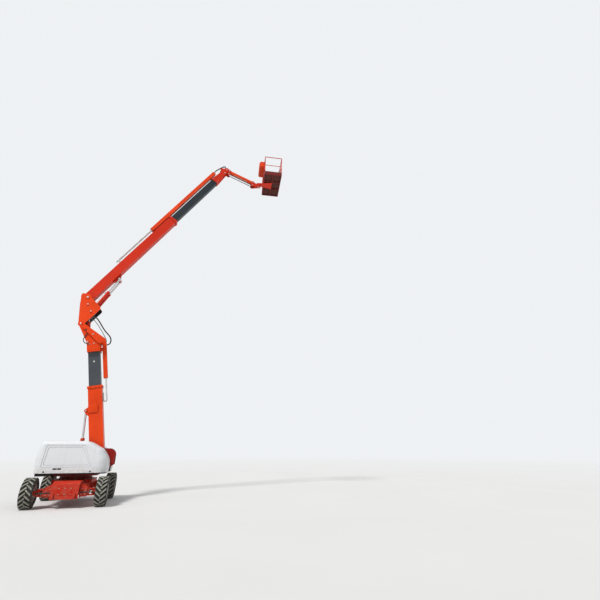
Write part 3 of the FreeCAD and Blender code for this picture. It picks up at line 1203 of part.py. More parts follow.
def hose_tubes():
    tower = hose_tube("tower_tube_start", "tower_tube_end", "tower_tube_y", "tower_tube_off",
                      "tower_tube_deep", "tower_anchor", "tower_travel", -1)
    bridge = box(("head_start + 40", "head_start + 160"), ("-60", "60"),
                 ("-tower_tube_off - lap", "-tower_inner_depth / 2 - head_plate"))
    node(fuse(tower, bridge, *hose_guard()), "tower_hose_tube", TOWER)
    boom = hose_tube("boom_tube_start", "boom_reach - boom_tube_short", "boom_tube_y", "boom_tube_off",
                     "boom_tube_deep", "boom_anchor", "boom_travel", 1)
    seat = box(("boom_reach - tip_fork - 100", "boom_reach - tip_fork - 20"), ("-60", "60"),
               ("boom_inner_depth / 2 + tip_plate", "boom_tube_off + lap"))
    node(fuse(boom, seat), "boom_hose_tube", BOOM)


def drag_chain(name, frame, base, off, loop, anchor, start, way):
    """A flat hose chain: a run on the base section, the loop, and a run into the hose tube."""
    lower = base
    upper = off
    middle = f"(({lower}) + ({upper}) + chain_thick) / 2"
    outer = f"(({upper}) - ({lower}) + chain_thick) / 2"
    def span(low, high):
        return (low, high) if way > 0 else (f"-({high})", f"-({low})")
    width = ("-chain_width / 2", "chain_width / 2")
    runs = [box((f"{loop} + {outer}", anchor), width, span(lower, f"{lower} + chain_thick")),
            box((f"{loop} + {outer}", start), width, span(upper, f"{upper} + chain_thick"))]
    place = middle if way > 0 else f"-({middle})"
    drum = bar("Y", outer, *width, f"{loop} + {outer}", place)
    hollow = bar("Y", f"({outer}) - chain_thick", "-chain_width", "chain_width", f"{loop} + {outer}", place)
    front = box((f"{loop} + {outer}", f"{loop} + {outer} * 3"), ("-chain_width", "chain_width"),
                span(f"{lower} - 200", f"{upper} + 300"))
    bend = cut(drum, hollow, front)
    windows = []
    across_link = ("link_bar - chain_width / 2", "chain_width / 2 - link_bar")
    for run_end, face in ((anchor, lower), (start, upper)):
        length = size_of(run_end) - size_of(loop) - size_of(outer)
        for number in range(int(length / mm("link_pitch"))):
            low = f"{loop} + {outer} + {number} * link_pitch + link_bar"
            windows.append(box((low, f"{low} + link_window"), across_link,
                               span(f"{face} - lap", f"{face} + chain_thick + lap")))
    node(cut(fuse(*runs, bend), *windows), name, frame)


def drag_chains():
    drag_chain("tower_chain", TOWER, "tower_depth / 2", "tower_tube_off + 60", "tower_loop",
               "tower_anchor", "tower_tube_start + 100", -1)
    drag_chain("boom_chain", BOOM, "boom_depth / 2", "boom_tube_off + 70", "boom_loop",
               "boom_anchor", "boom_tube_start + 200", 1)


chassis_frame()
front_axle()
rear_axle()
steering()
for side, side_name in ((-1, "left"), (1, "right")):
    knuckle(side, f"knuckle_{side_name}")
    wheel(side, -1, f"front_{side_name}")
    wheel(side, 1, f"rear_{side_name}")
slewing_ring()
turntable_frame()
counterweight()
power_units()
for side, side_name in ((-1, "right"), (1, "left")):
    tray(side, f"tray_{side_name}")
    hood(side, f"hood_{side_name}")
tower_base()
tower_inner()
tower_head()
upright()
cylinders()
boom_base()
boom_inner()
boom_tip()
knuckle_head()
jib_arm()
jib_link()
basket_carrier()
basket_bracket()
basket_frame()
basket_rails()
basket_gate()
control_console()
hose_tubes()
drag_chains()

DOC.recompute()
for item in DOC.Objects:
    if "Invalid" in item.State or "Error" in item.State:
        raise RuntimeError(f"{item.Label} failed: {item.State}")
os.makedirs("parts", exist_ok=True)
for item in NODES:
    if item.Shape.isNull() or not item.Shape.isValid():
        raise RuntimeError(f"{item.Label} has no valid shape")
for item in NODES:
    item.Shape.exportStep(f"parts/{item.Label}.step")
    print(item.Label, len(item.Shape.Solids), round(item.Shape.Volume / 1e9, 5))
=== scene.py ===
import json
import math
import bmesh
import bpy
from mathutils import Matrix, Vector


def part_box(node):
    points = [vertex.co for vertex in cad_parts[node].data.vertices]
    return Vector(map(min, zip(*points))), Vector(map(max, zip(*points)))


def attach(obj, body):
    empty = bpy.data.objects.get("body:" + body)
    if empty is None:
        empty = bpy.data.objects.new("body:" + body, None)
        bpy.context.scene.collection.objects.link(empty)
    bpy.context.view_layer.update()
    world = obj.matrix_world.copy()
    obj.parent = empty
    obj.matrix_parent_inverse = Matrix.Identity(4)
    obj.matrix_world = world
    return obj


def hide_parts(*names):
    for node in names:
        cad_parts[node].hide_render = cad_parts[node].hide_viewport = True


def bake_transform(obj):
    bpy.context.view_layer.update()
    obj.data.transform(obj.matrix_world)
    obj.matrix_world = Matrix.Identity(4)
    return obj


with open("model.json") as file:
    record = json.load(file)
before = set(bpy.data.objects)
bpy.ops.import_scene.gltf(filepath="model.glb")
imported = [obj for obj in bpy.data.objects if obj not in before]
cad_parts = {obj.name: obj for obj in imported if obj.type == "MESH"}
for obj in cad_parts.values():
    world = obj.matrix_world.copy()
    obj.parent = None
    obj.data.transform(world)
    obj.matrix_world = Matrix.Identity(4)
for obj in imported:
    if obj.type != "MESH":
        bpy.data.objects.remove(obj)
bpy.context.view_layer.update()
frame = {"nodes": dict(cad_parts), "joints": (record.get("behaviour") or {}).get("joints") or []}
NODES = frame["nodes"]
JOINTS = {joint["name"]: joint for joint in frame["joints"]}


# Places, in metres

def at(name):
    """Where a joint turns, in the row frame."""
    return Vector(JOINTS[name]["pos_m"])


def along(origin, way):
    """A frame whose +X runs along a direction in the boom's plane."""
    angle = math.atan2(way[2], way[0])
    return Matrix.Translation(origin) @ Matrix.Rotation(-angle, 4, "Y")


def span(way, near, far):
    """Two places on one side of the middle, the lower first."""
    return sorted((way * near, way * far))


def ring(count, radius, phase=0):
    """Places spread on a circle; phase shifts them by a share of a step."""
    turns = [math.tau * (k + phase) / count for k in range(count)]
    return [(radius * math.cos(turn), radius * math.sin(turn)) for turn in turns]


OUT = Vector((1, 0, 0))
UP = Vector((0, 0, 1))
SIDES = (-1, 1)
BASKET_YAW = math.radians(-9)
SLEW = at("slew")
BASE = Matrix.Translation((SLEW.x, 0, 0))
TOWER = along(at("tower_lift"), JOINTS["tower_extend"]["axis"])
ELBOW = Matrix.Translation(at("upright_level"))
BOOM = along(at("boom_lift"), JOINTS["boom_extend"]["axis"])
TIP = Matrix.Translation(at("knuckle_level"))
JIB = along(at("jib_lift"), at("carrier_level") - at("jib_lift"))
CARRIER = Matrix.Translation(at("carrier_level"))
BASKET = Matrix.Translation(at("basket_turn")) @ Matrix.Rotation(BASKET_YAW, 4, "Z")


# Materials

def linear(red, green, blue):
    """A colour as it looks on a screen, 0 to 255, for a shader."""
    def one(value):
        value /= 255
        return value / 12.92 if value <= 0.04045 else ((value + 0.055) / 1.055) ** 2.4
    return (one(red), one(green), one(blue), 1)


def shade(colour, factor, lift=0.0):
    """A colour made darker or lighter."""
    return tuple(min(c * factor + lift, 1) for c in colour[:3]) + (1,)


class Material:
    """A node material on one Principled shader, with the few nodes that it needs."""

    def __init__(self, name, **settings):
        self.material = bpy.data.materials.new(name)
        self.material.use_nodes = True
        self.tree = self.material.node_tree
        self.shader = self.tree.nodes["Principled BSDF"]
        for key, value in settings.items():
            self.shader.inputs[key.replace("_", " ")].default_value = value
        self.places = self.make("ShaderNodeTexCoord").outputs["Object"]

    def make(self, kind, **values):
        node = self.tree.nodes.new(kind)
        for key, value in values.items():
            setattr(node, key, value)
        return node

    def put(self, value, socket):
        """Link a socket, or set a number or colour."""
        if isinstance(value, bpy.types.NodeSocket):
            self.tree.links.new(value, socket)
        else:
            socket.default_value = value

    def noise(self, scale, detail, stretch=(1, 1, 1)):
        mapping = self.make("ShaderNodeMapping")
        self.put(self.places, mapping.inputs["Vector"])
        mapping.inputs["Scale"].default_value = stretch
        texture = self.make("ShaderNodeTexNoise")
        self.put(mapping.outputs[0], texture.inputs["Vector"])
        texture.inputs["Scale"].default_value = scale
        texture.inputs["Detail"].default_value = detail
        return texture.outputs["Fac"]

    def ramp(self, fac, low, high, start=0.0, end=1.0):
        """A number from start to end as fac goes from low to high."""
        node = self.make("ShaderNodeMapRange")
        self.put(fac, node.inputs["Value"])
        for key, value in (("From Min", low), ("From Max", high), ("To Min", start), ("To Max", end)):
            node.inputs[key].default_value = value
        return node.outputs[0]

    def cloud(self, scale, detail, start=0.0, end=1.0):
        """Noise spread over its usual range."""
        return self.ramp(self.noise(scale, detail), 0.3, 0.7, start, end)

    def math(self, operation, one, two=0.0):
        node = self.make("ShaderNodeMath", operation=operation)
        self.put(one, node.inputs[0])
        self.put(two, node.inputs[1])
        return node.outputs[0]

    def times(self, one, two):
        return self.math("MULTIPLY", one, two)

    def mix(self, fac, one, two):
        """A colour between two."""
        node = self.make("ShaderNodeMix", data_type="RGBA")
        self.put(fac, node.inputs[0])
        self.put(one, node.inputs[6])
        self.put(two, node.inputs[7])
        return node.outputs[2]

    def axes(self):
        """The place's X, Y and Z."""
        node = self.make("ShaderNodeSeparateXYZ")
        self.put(self.places, node.inputs[0])
        return node.outputs

    def rounded(self, radius):
        """The normal that rounds the edges."""
        bevel = self.make("ShaderNodeBevel", samples=4)
        bevel.inputs["Radius"].default_value = radius
        return bevel.outputs[0]

    def edges(self, rounded):
        """1 at edges, where the rounded normal turns away from the face's own, 0 on open faces."""
        geometry = self.make("ShaderNodeNewGeometry")
        dot = self.make("ShaderNodeVectorMath", operation="DOT_PRODUCT")
        self.put(rounded, dot.inputs[0])
        self.put(geometry.outputs["Normal"], dot.inputs[1])
        return self.ramp(dot.outputs["Value"], 0.995, 0.86)

    def cavity_shade(self, reach, strength, samples=6):
        """Painted shade: up to strength in grooves and corners of the same object, where little light
        reaches, 0 on open faces.
        """
        node = self.make("ShaderNodeAmbientOcclusion", samples=samples, only_local=True)
        node.inputs["Distance"].default_value = reach
        return self.times(self.ramp(node.outputs["AO"], 0.9, 0.45), strength)

    def axle_distance(self):
        """How far a place on a wheel is from its axle; the axles mirror each other in y."""
        axes, axle = self.axes(), at("roll_rear_left")
        run = self.math("SUBTRACT", self.math("ABSOLUTE", axes["Y"]), axle.y)
        rise = self.math("SUBTRACT", axes["Z"], axle.z)
        square = self.math("ADD", self.math("POWER", self.math("ABSOLUTE", run), 2),
                           self.math("POWER", self.math("ABSOLUTE", rise), 2))
        return self.math("SQRT", square)

    def bump(self, fac, strength, distance, normal=None):
        node = self.make("ShaderNodeBump")
        node.inputs["Strength"].default_value = strength
        node.inputs["Distance"].default_value = distance
        self.put(fac, node.inputs["Height"])
        if normal is not None:
            self.put(normal, node.inputs["Normal"])
        self.put(node.outputs[0], self.shader.inputs["Normal"])

    def colour(self, value):
        self.put(value, self.shader.inputs["Base Color"])

    def rough(self, value):
        self.put(value, self.shader.inputs["Roughness"])


def painted(name, colour, worn, gloss=0.38, dirt=0.3, edge=0.005, coat=0.04):
    """Sprayed paint on steel: cloudy tone, streaks, dust low down, painted shade in grooves and worn edges.
    """
    colour, worn = linear(*colour), linear(*worn)
    m = Material(name, Coat_Weight=coat, Coat_Roughness=0.15, Specular_IOR_Level=0.14)
    base = m.mix(m.cloud(0.9, 5), shade(colour, 0.84), shade(colour, 1.12, 0.006))
    streak = m.ramp(m.noise(5, 3, (3, 3, 0.25)), 0.52, 0.78, 0, 0.30)
    base = m.mix(streak, base, shade(colour, 0.7, 0.02))
    low = m.ramp(m.axes()["Z"], 1.5, 0.1, 0, dirt)
    dust = m.times(low, m.ramp(m.noise(7, 6), 0.35, 0.68))
    base = m.mix(dust, base, linear(150, 134, 112))
    # Painted shade: the paint darkened in grooves and corners.
    base = m.mix(m.cavity_shade(0.05, 0.6), base, shade(colour, 0.25))
    rounded = m.rounded(edge)
    chips = m.times(m.edges(rounded), m.ramp(m.noise(38, 5), 0.42, 0.62, 0, 0.75))
    m.colour(m.mix(chips, base, worn))
    rough = m.cloud(4, 5, gloss - 0.07, gloss + 0.09)
    m.rough(m.math("ADD", rough, m.times(dust, 0.4)))
    m.bump(m.noise(160, 2), 0.12, 0.0006, rounded)
    return m.material


def metal(name, colour, rough, grime, scale=60):
    """Bare or plated steel with grime and fine scratches."""
    colour = linear(*colour)
    m = Material(name, Metallic=1.0)
    grain = m.noise(scale, 4)
    base = m.mix(m.ramp(grain, 0.3, 0.7), shade(colour, 0.8), colour)
    grease = m.ramp(m.noise(3.2, 6), 0.5, 0.75, 0, grime)
    m.colour(m.mix(grease, base, linear(46, 40, 34)))
    polish = m.ramp(grain, 0.3, 0.7, rough - 0.08, rough + 0.08)
    m.rough(m.math("ADD", polish, m.times(grease, 0.35)))
    m.bump(grain, 0.1, 0.0005, m.rounded(0.003))
    return m.material


def rubber():
    """Tyre rubber, dusty, with painted shade in its grooves and the lugs' faces painted pale, partly worn
    and partly a painted highlight.
    """
    lug_foot, lug_face = 0.438, 0.449
    m = Material("tyre_rubber", Specular_IOR_Level=0.35)
    cloud = m.cloud(6, 6)
    base = m.mix(cloud, linear(30, 31, 31), linear(50, 50, 48))
    patch = m.ramp(m.noise(14, 7), 0.38, 0.66, 0, 0.75)
    dust = m.times(m.times(patch, m.cloud(1.7, 3, 0.4, 1)), 0.5)
    base = m.mix(dust, base, linear(122, 116, 102))
    # The lugs' outer faces painted pale: partly dusty wear, partly a painted highlight.
    face = m.ramp(m.axle_distance(), lug_foot, lug_face)
    worn = m.times(face, m.ramp(m.noise(9, 6), 0.25, 0.6, 0.35, 0.95))
    # Painted shade: near black in the grooves between the lugs.
    base = m.mix(m.cavity_shade(0.05, 0.85), base, linear(12, 12, 12))
    m.colour(m.mix(worn, base, linear(150, 148, 136)))
    m.rough(m.ramp(cloud, 0, 1, 0.72, 0.9))
    m.bump(m.noise(220, 4), 0.35, 0.001, m.rounded(0.006))
    return m.material


def shell():
    """White gelcoat of the fibreglass hoods, with painted shade in its grooves."""
    m = Material("white_gelcoat", Coat_Weight=0.12, Coat_Roughness=0.2, Specular_IOR_Level=0.3)
    base = m.mix(m.cloud(0.8, 4), linear(208, 210, 213), linear(221, 222, 223))
    drips = m.ramp(m.noise(4, 4, (2.5, 2.5, 0.18)), 0.55, 0.8, 0, 0.28)
    base = m.mix(drips, base, linear(186, 184, 176))
    low = m.ramp(m.axes()["Z"], 1.35, 1.0, 0, 0.5)
    dust = m.times(low, m.ramp(m.noise(9, 6), 0.35, 0.65))
    base = m.mix(dust, base, linear(176, 166, 148))
    # Painted shade: bluish grey in the pressed grooves and seams.
    m.colour(m.mix(m.cavity_shade(0.11, 0.95, 10), base, linear(70, 72, 78)))
    m.rough(m.math("ADD", m.cloud(3, 5, 0.36, 0.48), m.times(dust, 0.3)))
    m.bump(m.noise(2.6, 2), 0.05, 0.01, m.rounded(0.008))
    return m.material


def plastic(name, colour, rough=0.55, grain=260, depth=0.25, dusty=0.3):
    """Plastic or hose rubber with a fine grain and dust in patches."""
    colour = linear(*colour)
    m = Material(name, Specular_IOR_Level=0.4)
    cloud = m.cloud(5, 5)
    base = m.mix(cloud, colour, shade(colour, 1.35, 0.004))
    dust = m.ramp(m.noise(11, 6), 0.5, 0.75, 0, dusty)
    m.colour(m.mix(dust, base, linear(128, 120, 106)))
    m.rough(m.ramp(cloud, 0, 1, rough - 0.06, rough + 0.08))
    m.bump(m.noise(grain, 3), depth, 0.0008, m.rounded(0.004))
    return m.material


RED = painted("red_paint", (226, 66, 14), (120, 62, 44))
BOOM_RED = painted("boom_red_paint", (204, 44, 16), (110, 58, 44))
CHASSIS_RED = painted("chassis_red_paint", (196, 34, 8), (96, 52, 40), gloss=0.4)
# Painted shade: a darker copy of the red paint, for the turntable frame, the slewing ring, its teeth and the
# turntable's keepers.
SHADED_RED = painted("shaded_red_paint", (140, 22, 12), (92, 48, 40), gloss=0.42)
FLOOR_RED = painted("basket_floor_paint", (104, 22, 14), (80, 50, 42), gloss=0.5)
MESH = painted("floor_mesh_paint", (74, 62, 54), (110, 100, 90), gloss=0.5)
STOP_RED = plastic("stop_button_red", (176, 16, 14), 0.35, 120, 0.1, 0.1)
GREY = painted("dark_grey_paint", (72, 76, 80), (120, 118, 112), gloss=0.4)
DARK_GREY = painted("boom_grey_paint", (38, 45, 50), (110, 110, 106), gloss=0.4)
BLACK = painted("black_paint", (34, 35, 37), (96, 94, 90), gloss=0.4)
RIM = painted("rim_paint", (206, 204, 196), (120, 108, 94), gloss=0.4, dirt=0.75)
WHITE = shell()
TYRE = rubber()
STEEL = metal("steel", (176, 176, 172), 0.38, 0.55)
CHROME = metal("chrome", (214, 214, 214), 0.14, 0.2, 30)
ZINC = metal("zinc_plate", (196, 194, 186), 0.42, 0.3, 90)
CAST = painted("cast_iron", (58, 58, 58), (104, 96, 88), gloss=0.55, edge=0.01, coat=0.0)
PLASTIC = plastic("dark_plastic", (38, 39, 41))
HOSE = plastic("hose_rubber", (18, 20, 22), 0.5, 300, 0.2, 0.12)
CHAIN = plastic("white_chain", (186, 187, 184), 0.4, 120, 0.1, 0.2)

LOOKS = {
    CHASSIS_RED: ("chassis_frame", "front_axle", "rear_axle", "knuckle_left", "knuckle_right"),
    RED: ("tower_base", "tower_head", "upright", "tower_hose_tube", "boom_hose_tube", "jib_arm",
          "tower_cylinder_barrel"),
    BOOM_RED: ("boom_base", "boom_tip", "knuckle_head", "basket_carrier", "basket_bracket", "basket_rails",
               "basket_gate", "level_cylinder_barrel", "boom_cylinders_barrel"),
    # Painted shade: the turntable frame and slewing ring get the darker copy of the red paint.
    SHADED_RED: ("turntable_frame", "slewing_ring"),
    FLOOR_RED: ("basket_frame",),
    GREY: ("tower_inner",),
    DARK_GREY: ("boom_inner",),
    BLACK: ("tray_left", "tray_right", "steer_cylinder", "steer_rod", "jib_link"),
    WHITE: ("hood_left", "hood_right"),
    CAST: ("counterweight", "engine_block"),
    PLASTIC: ("fuel_tank", "oil_tank", "control_console"),
    CHAIN: ("tower_chain", "boom_chain"),
    CHROME: ("tower_cylinder_rod", "level_cylinder_rod", "boom_cylinders_rod"),
    TYRE: [name for name in NODES if name.endswith("tyre")],
    RIM: [name for name in NODES if name.endswith("rim")],
}


def dress():
    """Give each CAD node its look, and the upright's inner and under faces black paint as painted shade."""
    for look, names in LOOKS.items():
        for name in names:
            slots = NODES[name].data.materials
            slots.clear()
            slots.append(look)
            for face in NODES[name].data.polygons:
                face.material_index = 0
    # Painted shade: the upright's inner faces and the underside of its lower flange get black paint.
    upright = NODES["upright"].data
    upright.materials.append(BLACK)
    for face in upright.polygons:
        inward = abs(face.normal.y) > 0.5 and face.normal.y * face.center.y < 0
        under = face.normal.x > 0.3 and face.normal.z < -0.3
        if inward or under:
            face.material_index = 1


dress()


# Making pieces

def add(name, data):
    """Put an object into the scene."""
    thing = bpy.data.objects.new(name, data)
    bpy.context.scene.collection.objects.link(thing)
    return thing


class Piece:
    """A mesh made of rounded blocks, bars, plates and tubes, in one frame."""

    def __init__(self, where):
        self.mesh = bmesh.new()
        self.where = where

    def place(self, verts, matrix, bevel):
        """Move what was just made, and round its sharp edges."""
        bmesh.ops.transform(self.mesh, matrix=matrix, verts=verts)
        if bevel:
            near = dict.fromkeys(edge for vert in verts for edge in vert.link_edges)
            edges = [edge for edge in near if edge.calc_face_angle(0) > 0.5]
            bmesh.ops.bevel(self.mesh, geom=edges, offset=bevel, segments=2, profile=0.7,
                            affect="EDGES", clamp_overlap=True)
        return self

    def block(self, low, high, bevel=0.003):
        low, high = Vector(low), Vector(high)
        made = bmesh.ops.create_cube(self.mesh, size=1)
        matrix = Matrix.Translation((low + high) / 2) @ Matrix.Diagonal((*(high - low), 1))
        return self.place(made["verts"], matrix, bevel)

    def bar(self, start, end, radius, sides=24, bevel=0.0):
        """A round bar, or one with a few flat sides."""
        start, end = Vector(start), Vector(end)
        way = end - start
        made = bmesh.ops.create_cone(self.mesh, cap_ends=True, segments=sides, radius1=radius,
                                     radius2=radius, depth=way.length)
        turn = way.to_track_quat("Z", "Y").to_matrix().to_4x4()
        return self.place(made["verts"], Matrix.Translation((start + end) / 2) @ turn, bevel)

    def ball(self, centre, radius):
        made = bmesh.ops.create_icosphere(self.mesh, subdivisions=2, radius=radius)
        return self.place(made["verts"], Matrix.Translation(centre), 0)

    def bolt(self, point, way, size=0.012, washer=True):
        """A hexagon head on a washer."""
        point, way = Vector(point), Vector(way).normalized()
        foot = point + way * size * 0.22
        if washer:
            self.bar(point, foot, size * 1.15, 20)
        return self.bar(foot, point + way * size * 0.95, size * 0.95, 6, size * 0.1)

    def plate(self, corners, axis, low, high, bevel=0.002):
        """A flat plate with an outline; axis is the one it is square to."""
        order = {"Y": (0, 2, 1), "Z": (0, 1, 2)}[axis]
        bottom, top = ([self.mesh.verts.new([(*corner, level)[place] for place in order])
                        for corner in corners] for level in (low, high))
        made = [self.mesh.faces.new(bottom), self.mesh.faces.new(top[::-1])]
        count = len(corners)
        for i in range(count):
            j = (i + 1) % count
            made.append(self.mesh.faces.new((bottom[j], bottom[i], top[i], top[j])))
        if not bevel:
            return self
        bmesh.ops.recalc_face_normals(self.mesh, faces=made)
        return self.place(bottom + top, Matrix(), bevel)

    def pipe(self, points, radius, sides=12, steps=6, closed=False):
        """A round tube along a smooth line through points."""
        line = smooth_line([Vector(point) for point in points], steps, closed)
        rings = []
        way = (line[1] - line[0]).normalized()
        side = way.orthogonal().normalized()
        for i, point in enumerate(line):
            ahead = line[(i + 1) % len(line)] if closed else line[min(i + 1, len(line) - 1)]
            back = line[i - 1] if closed or i else line[0]
            way = (ahead - back).normalized()
            side = (side - way * side.dot(way)).normalized()
            other = way.cross(side)
            rings.append([self.mesh.verts.new(point + radius * (
                side * math.cos(math.tau * k / sides) + other * math.sin(math.tau * k / sides)))
                for k in range(sides)])
        last = len(rings) if closed else len(rings) - 1
        for i in range(last):
            one, two = rings[i], rings[(i + 1) % len(rings)]
            for k in range(sides):
                n = (k + 1) % sides
                self.mesh.faces.new((one[k], one[n], two[n], two[k]))
        if not closed:
            self.mesh.faces.new(rings[0][::-1])
            self.mesh.faces.new(rings[-1])
        return self

    def hoop(self, centre, radius, thick, axis="X"):
        """A round ring, square to an axis."""
        x, y, z = centre
        points = [(x, y + u, z + v) if axis == "X" else (x + u, y, z + v) for u, v in ring(20, radius)]
        return self.pipe(points, thick, 10, 3, closed=True)

    def make(self, name, look, slot):
        """Make the object, in the row frame."""
        bmesh.ops.transform(self.mesh, matrix=self.where, verts=self.mesh.verts)
        bmesh.ops.recalc_face_normals(self.mesh, faces=self.mesh.faces)
        data = bpy.data.meshes.new(name)
        self.mesh.to_mesh(data)
        self.mesh.free()
        data.shade_smooth()
        data.set_sharp_from_angle(angle=math.radians(35))
        data.materials.append(look)
        thing = add(name, data)
        return thing

    def done(self, name, body, look, slot="dark_paint"):
        """Make the object and let it ride on a body."""
        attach(self.make(name, look, slot), body)


def smooth_line(points, steps, closed):
    """Points along a Catmull-Rom line through the given ones."""
    line = []
    count = len(points)
    for i in range(count if closed else count - 1):
        if closed:
            a, b, c, d = (points[(i + k) % count] for k in (-1, 0, 1, 2))
        else:
            a, b = points[max(i - 1, 0)], points[i]
            c, d = points[i + 1], points[min(i + 2, count - 1)]
        for k in range(steps):
            t = k / steps
            line.append(0.5 * (2 * b + (c - a) * t + (2 * a - 5 * b + 4 * c - d) * t * t
                               + (3 * b - a - 3 * c + d) * t ** 3))
    if not closed:
        line.append(points[-1])
    return line


PIN_PROUD = 0.005
KEEPER = 0.009


def pin_ends(pins, plates, x, z, face, radius=0.036):
    """A turned pin end with a keeper plate and its two bolts, on both sides of a joint."""
    for way in SIDES:
        pins.bar((x, way * face, z), (x, way * (face + PIN_PROUD), z), radius, 28, 0.002)
        low, high = span(way, face, face + KEEPER)
        plates.block((x - radius * 1.25, low, z - radius - 0.024),
                     (x + radius * 1.25, high, z - radius * 0.55))
        for step in (-0.85, 0.85):
            plates.bolt((x + radius * step, way * (face + KEEPER), z - radius - 0.008), (0, way, 0), 0.009)


def bolted_pin(piece, way, x, z, face, end, radius, size):
    """A pin end with a bolt in its middle, on one side."""
    piece.bar((x, way * face, z), (x, way * end, z), radius, 28, 0.002)
    piece.bolt((x, way * end, z), (0, way, 0), size)


def fitting(piece, point, way, size=0.013):
    """A hose end: a hexagon nut and a crimped collar."""
    point, way = Vector(point), Vector(way).normalized()
    collar = point + way * size * 1.3
    piece.bar(point, collar, size * 1.25, 6, size * 0.12)
    piece.bar(collar, point + way * size * 4, size * 1.05, 18, size * 0.12)


# The pieces, from the wheels up; each function's numbers are in the frame that it names

def wheels():
    """Wheel nuts, hub bolts, hub cap, valve, bead ring and rim lip; +X runs outward from each hub."""
    disc, boss, cap_end = 0.030, 0.070, 0.084
    bolt_rings = ((10, 0.168, disc, 0.017), (8, 0.060, boss, 0.009))
    for row in ("front", "rear"):
        for side, way in (("left", -1), ("right", 1)):
            name, body = f"{row}_{side}", f"wheel_{row}_{side}"
            hub = Matrix.Translation(at(f"roll_{name}")) @ Matrix.Rotation(math.pi * (way < 0), 4, "Z")
            nuts = Piece(hub)
            for count, circle, face, size in bolt_rings:
                for y, z in ring(count, circle):
                    nuts.bolt((face, y, z), OUT, size)
            nuts.done(f"{name}_nuts", body, ZINC, "steel")
            cap = Piece(hub).bar((boss, 0, 0), (cap_end, 0, 0), 0.036, 32, 0.004)
            cap.bar((cap_end, 0, 0), (cap_end + 0.006, 0, 0), 0.012, 6, 0.001)
            cap.done(f"{name}_hub_cap", body, BLACK)
            valve = Piece(hub).pipe([(disc, 0, 0.198), (0.046, 0, 0.202), (0.064, 0, 0.213)], 0.0045)
            valve.bar((0.060, 0, 0.210), (0.074, 0, 0.219), 0.0062, 12, 0.001)
            valve.done(f"{name}_valve", body, PLASTIC, "dark_plastic")
            Piece(hub).hoop((0.165, 0, 0), 0.281, 0.006).done(f"{name}_bead_ring", body, TYRE, "tyre")
            lip = Piece(hub).hoop((0.146, 0, 0), 0.243, 0.008)
            lip.done(f"{name}_rim_lip", body, RIM, "rim_paint")


def chassis():
    """Bolts, end covers, the slewing ring's teeth and the steering hoses, in BASE."""
    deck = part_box("slewing_ring")[0].z
    bolts, covers = Piece(BASE), Piece(BASE)
    for x, y in ring(20, 0.548, 0.5):
        bolts.bolt((x, y, deck), UP, 0.014)
    end_face, cover_face, cover_half, guard_face = 1.56, 1.568, 0.20, 1.363
    guard_bolts = ((0.46, 0.39), (0.57, 0.39), (0.46, 0.56), (0.57, 0.50))
    for way in SIDES:
        low, high = span(way, end_face - 0.001, cover_face)
        covers.block((-cover_half, low, 0.40), (cover_half, high, 0.61), 0.004)
        for x in (-0.17, 0, 0.17):
            for z in (0.42, 0.59):
                bolts.bolt((x, way * cover_face, z), (0, way, 0), 0.010)
        for side in SIDES:
            for x, z in guard_bolts:
                bolts.bolt((side * x, way * guard_face, z), (0, way, 0), 0.010)
    covers.done("chassis_covers", "chassis", CHASSIS_RED, "red_paint")
    bolts.done("chassis_bolts", "chassis", ZINC, "steel")
    teeth = Piece(BASE)
    count, root, tip = 84, 0.499, 0.514
    half = math.tau / count * 0.30
    for k in range(count):
        turn = math.tau * k / count
        outline = ((root, -half), (tip, -half * 0.5), (tip, half * 0.5), (root, half))
        corners = [(r * math.cos(turn + a), r * math.sin(turn + a)) for r, a in outline]
        teeth.plate(corners, "Z", deck + 0.012, deck + 0.072, 0)
    # The teeth get the darker copy of the red paint, as painted shade.
    teeth.done("ring_teeth", "chassis", SHADED_RED, "steel")
    y, top, port = -1.43, 0.499, 0.25
    ends, hoses = Piece(BASE), Piece(BASE)
    for way in SIDES:
        fitting(ends, (way * port, y, top), UP)
        route = ((port, y, top + 0.03), (port, y + 0.01, 0.575), (0.20, y + 0.07, 0.625),
                 (0.13, y + 0.16, 0.640), (0.10, y + 0.27, 0.645))
        hoses.pipe([(way * x, run, z) for x, run, z in route], 0.011)
    ends.done("steering_fittings", "chassis", ZINC, "steel")
    hoses.done("steering_hoses", "chassis", HOSE, "dark_plastic")


def knuckles():
    """A cap with four screws on each kingpin."""
    foot, top = 0.1155, 0.128
    for side in ("left", "right"):
        piece = Piece(Matrix.Translation(at(f"steer_{side}")))
        piece.bar((0, 0, foot), (0, 0, top), 0.040, 28, 0.003)
        for x, y in ring(4, 0.027, 0.5):
            piece.bolt((x, y, top), UP, 0.007)
        piece.done(f"kingpin_cap_{side}", "chassis", ZINC, "steel")


HINGES = (-0.85, -0.35, 0.15)


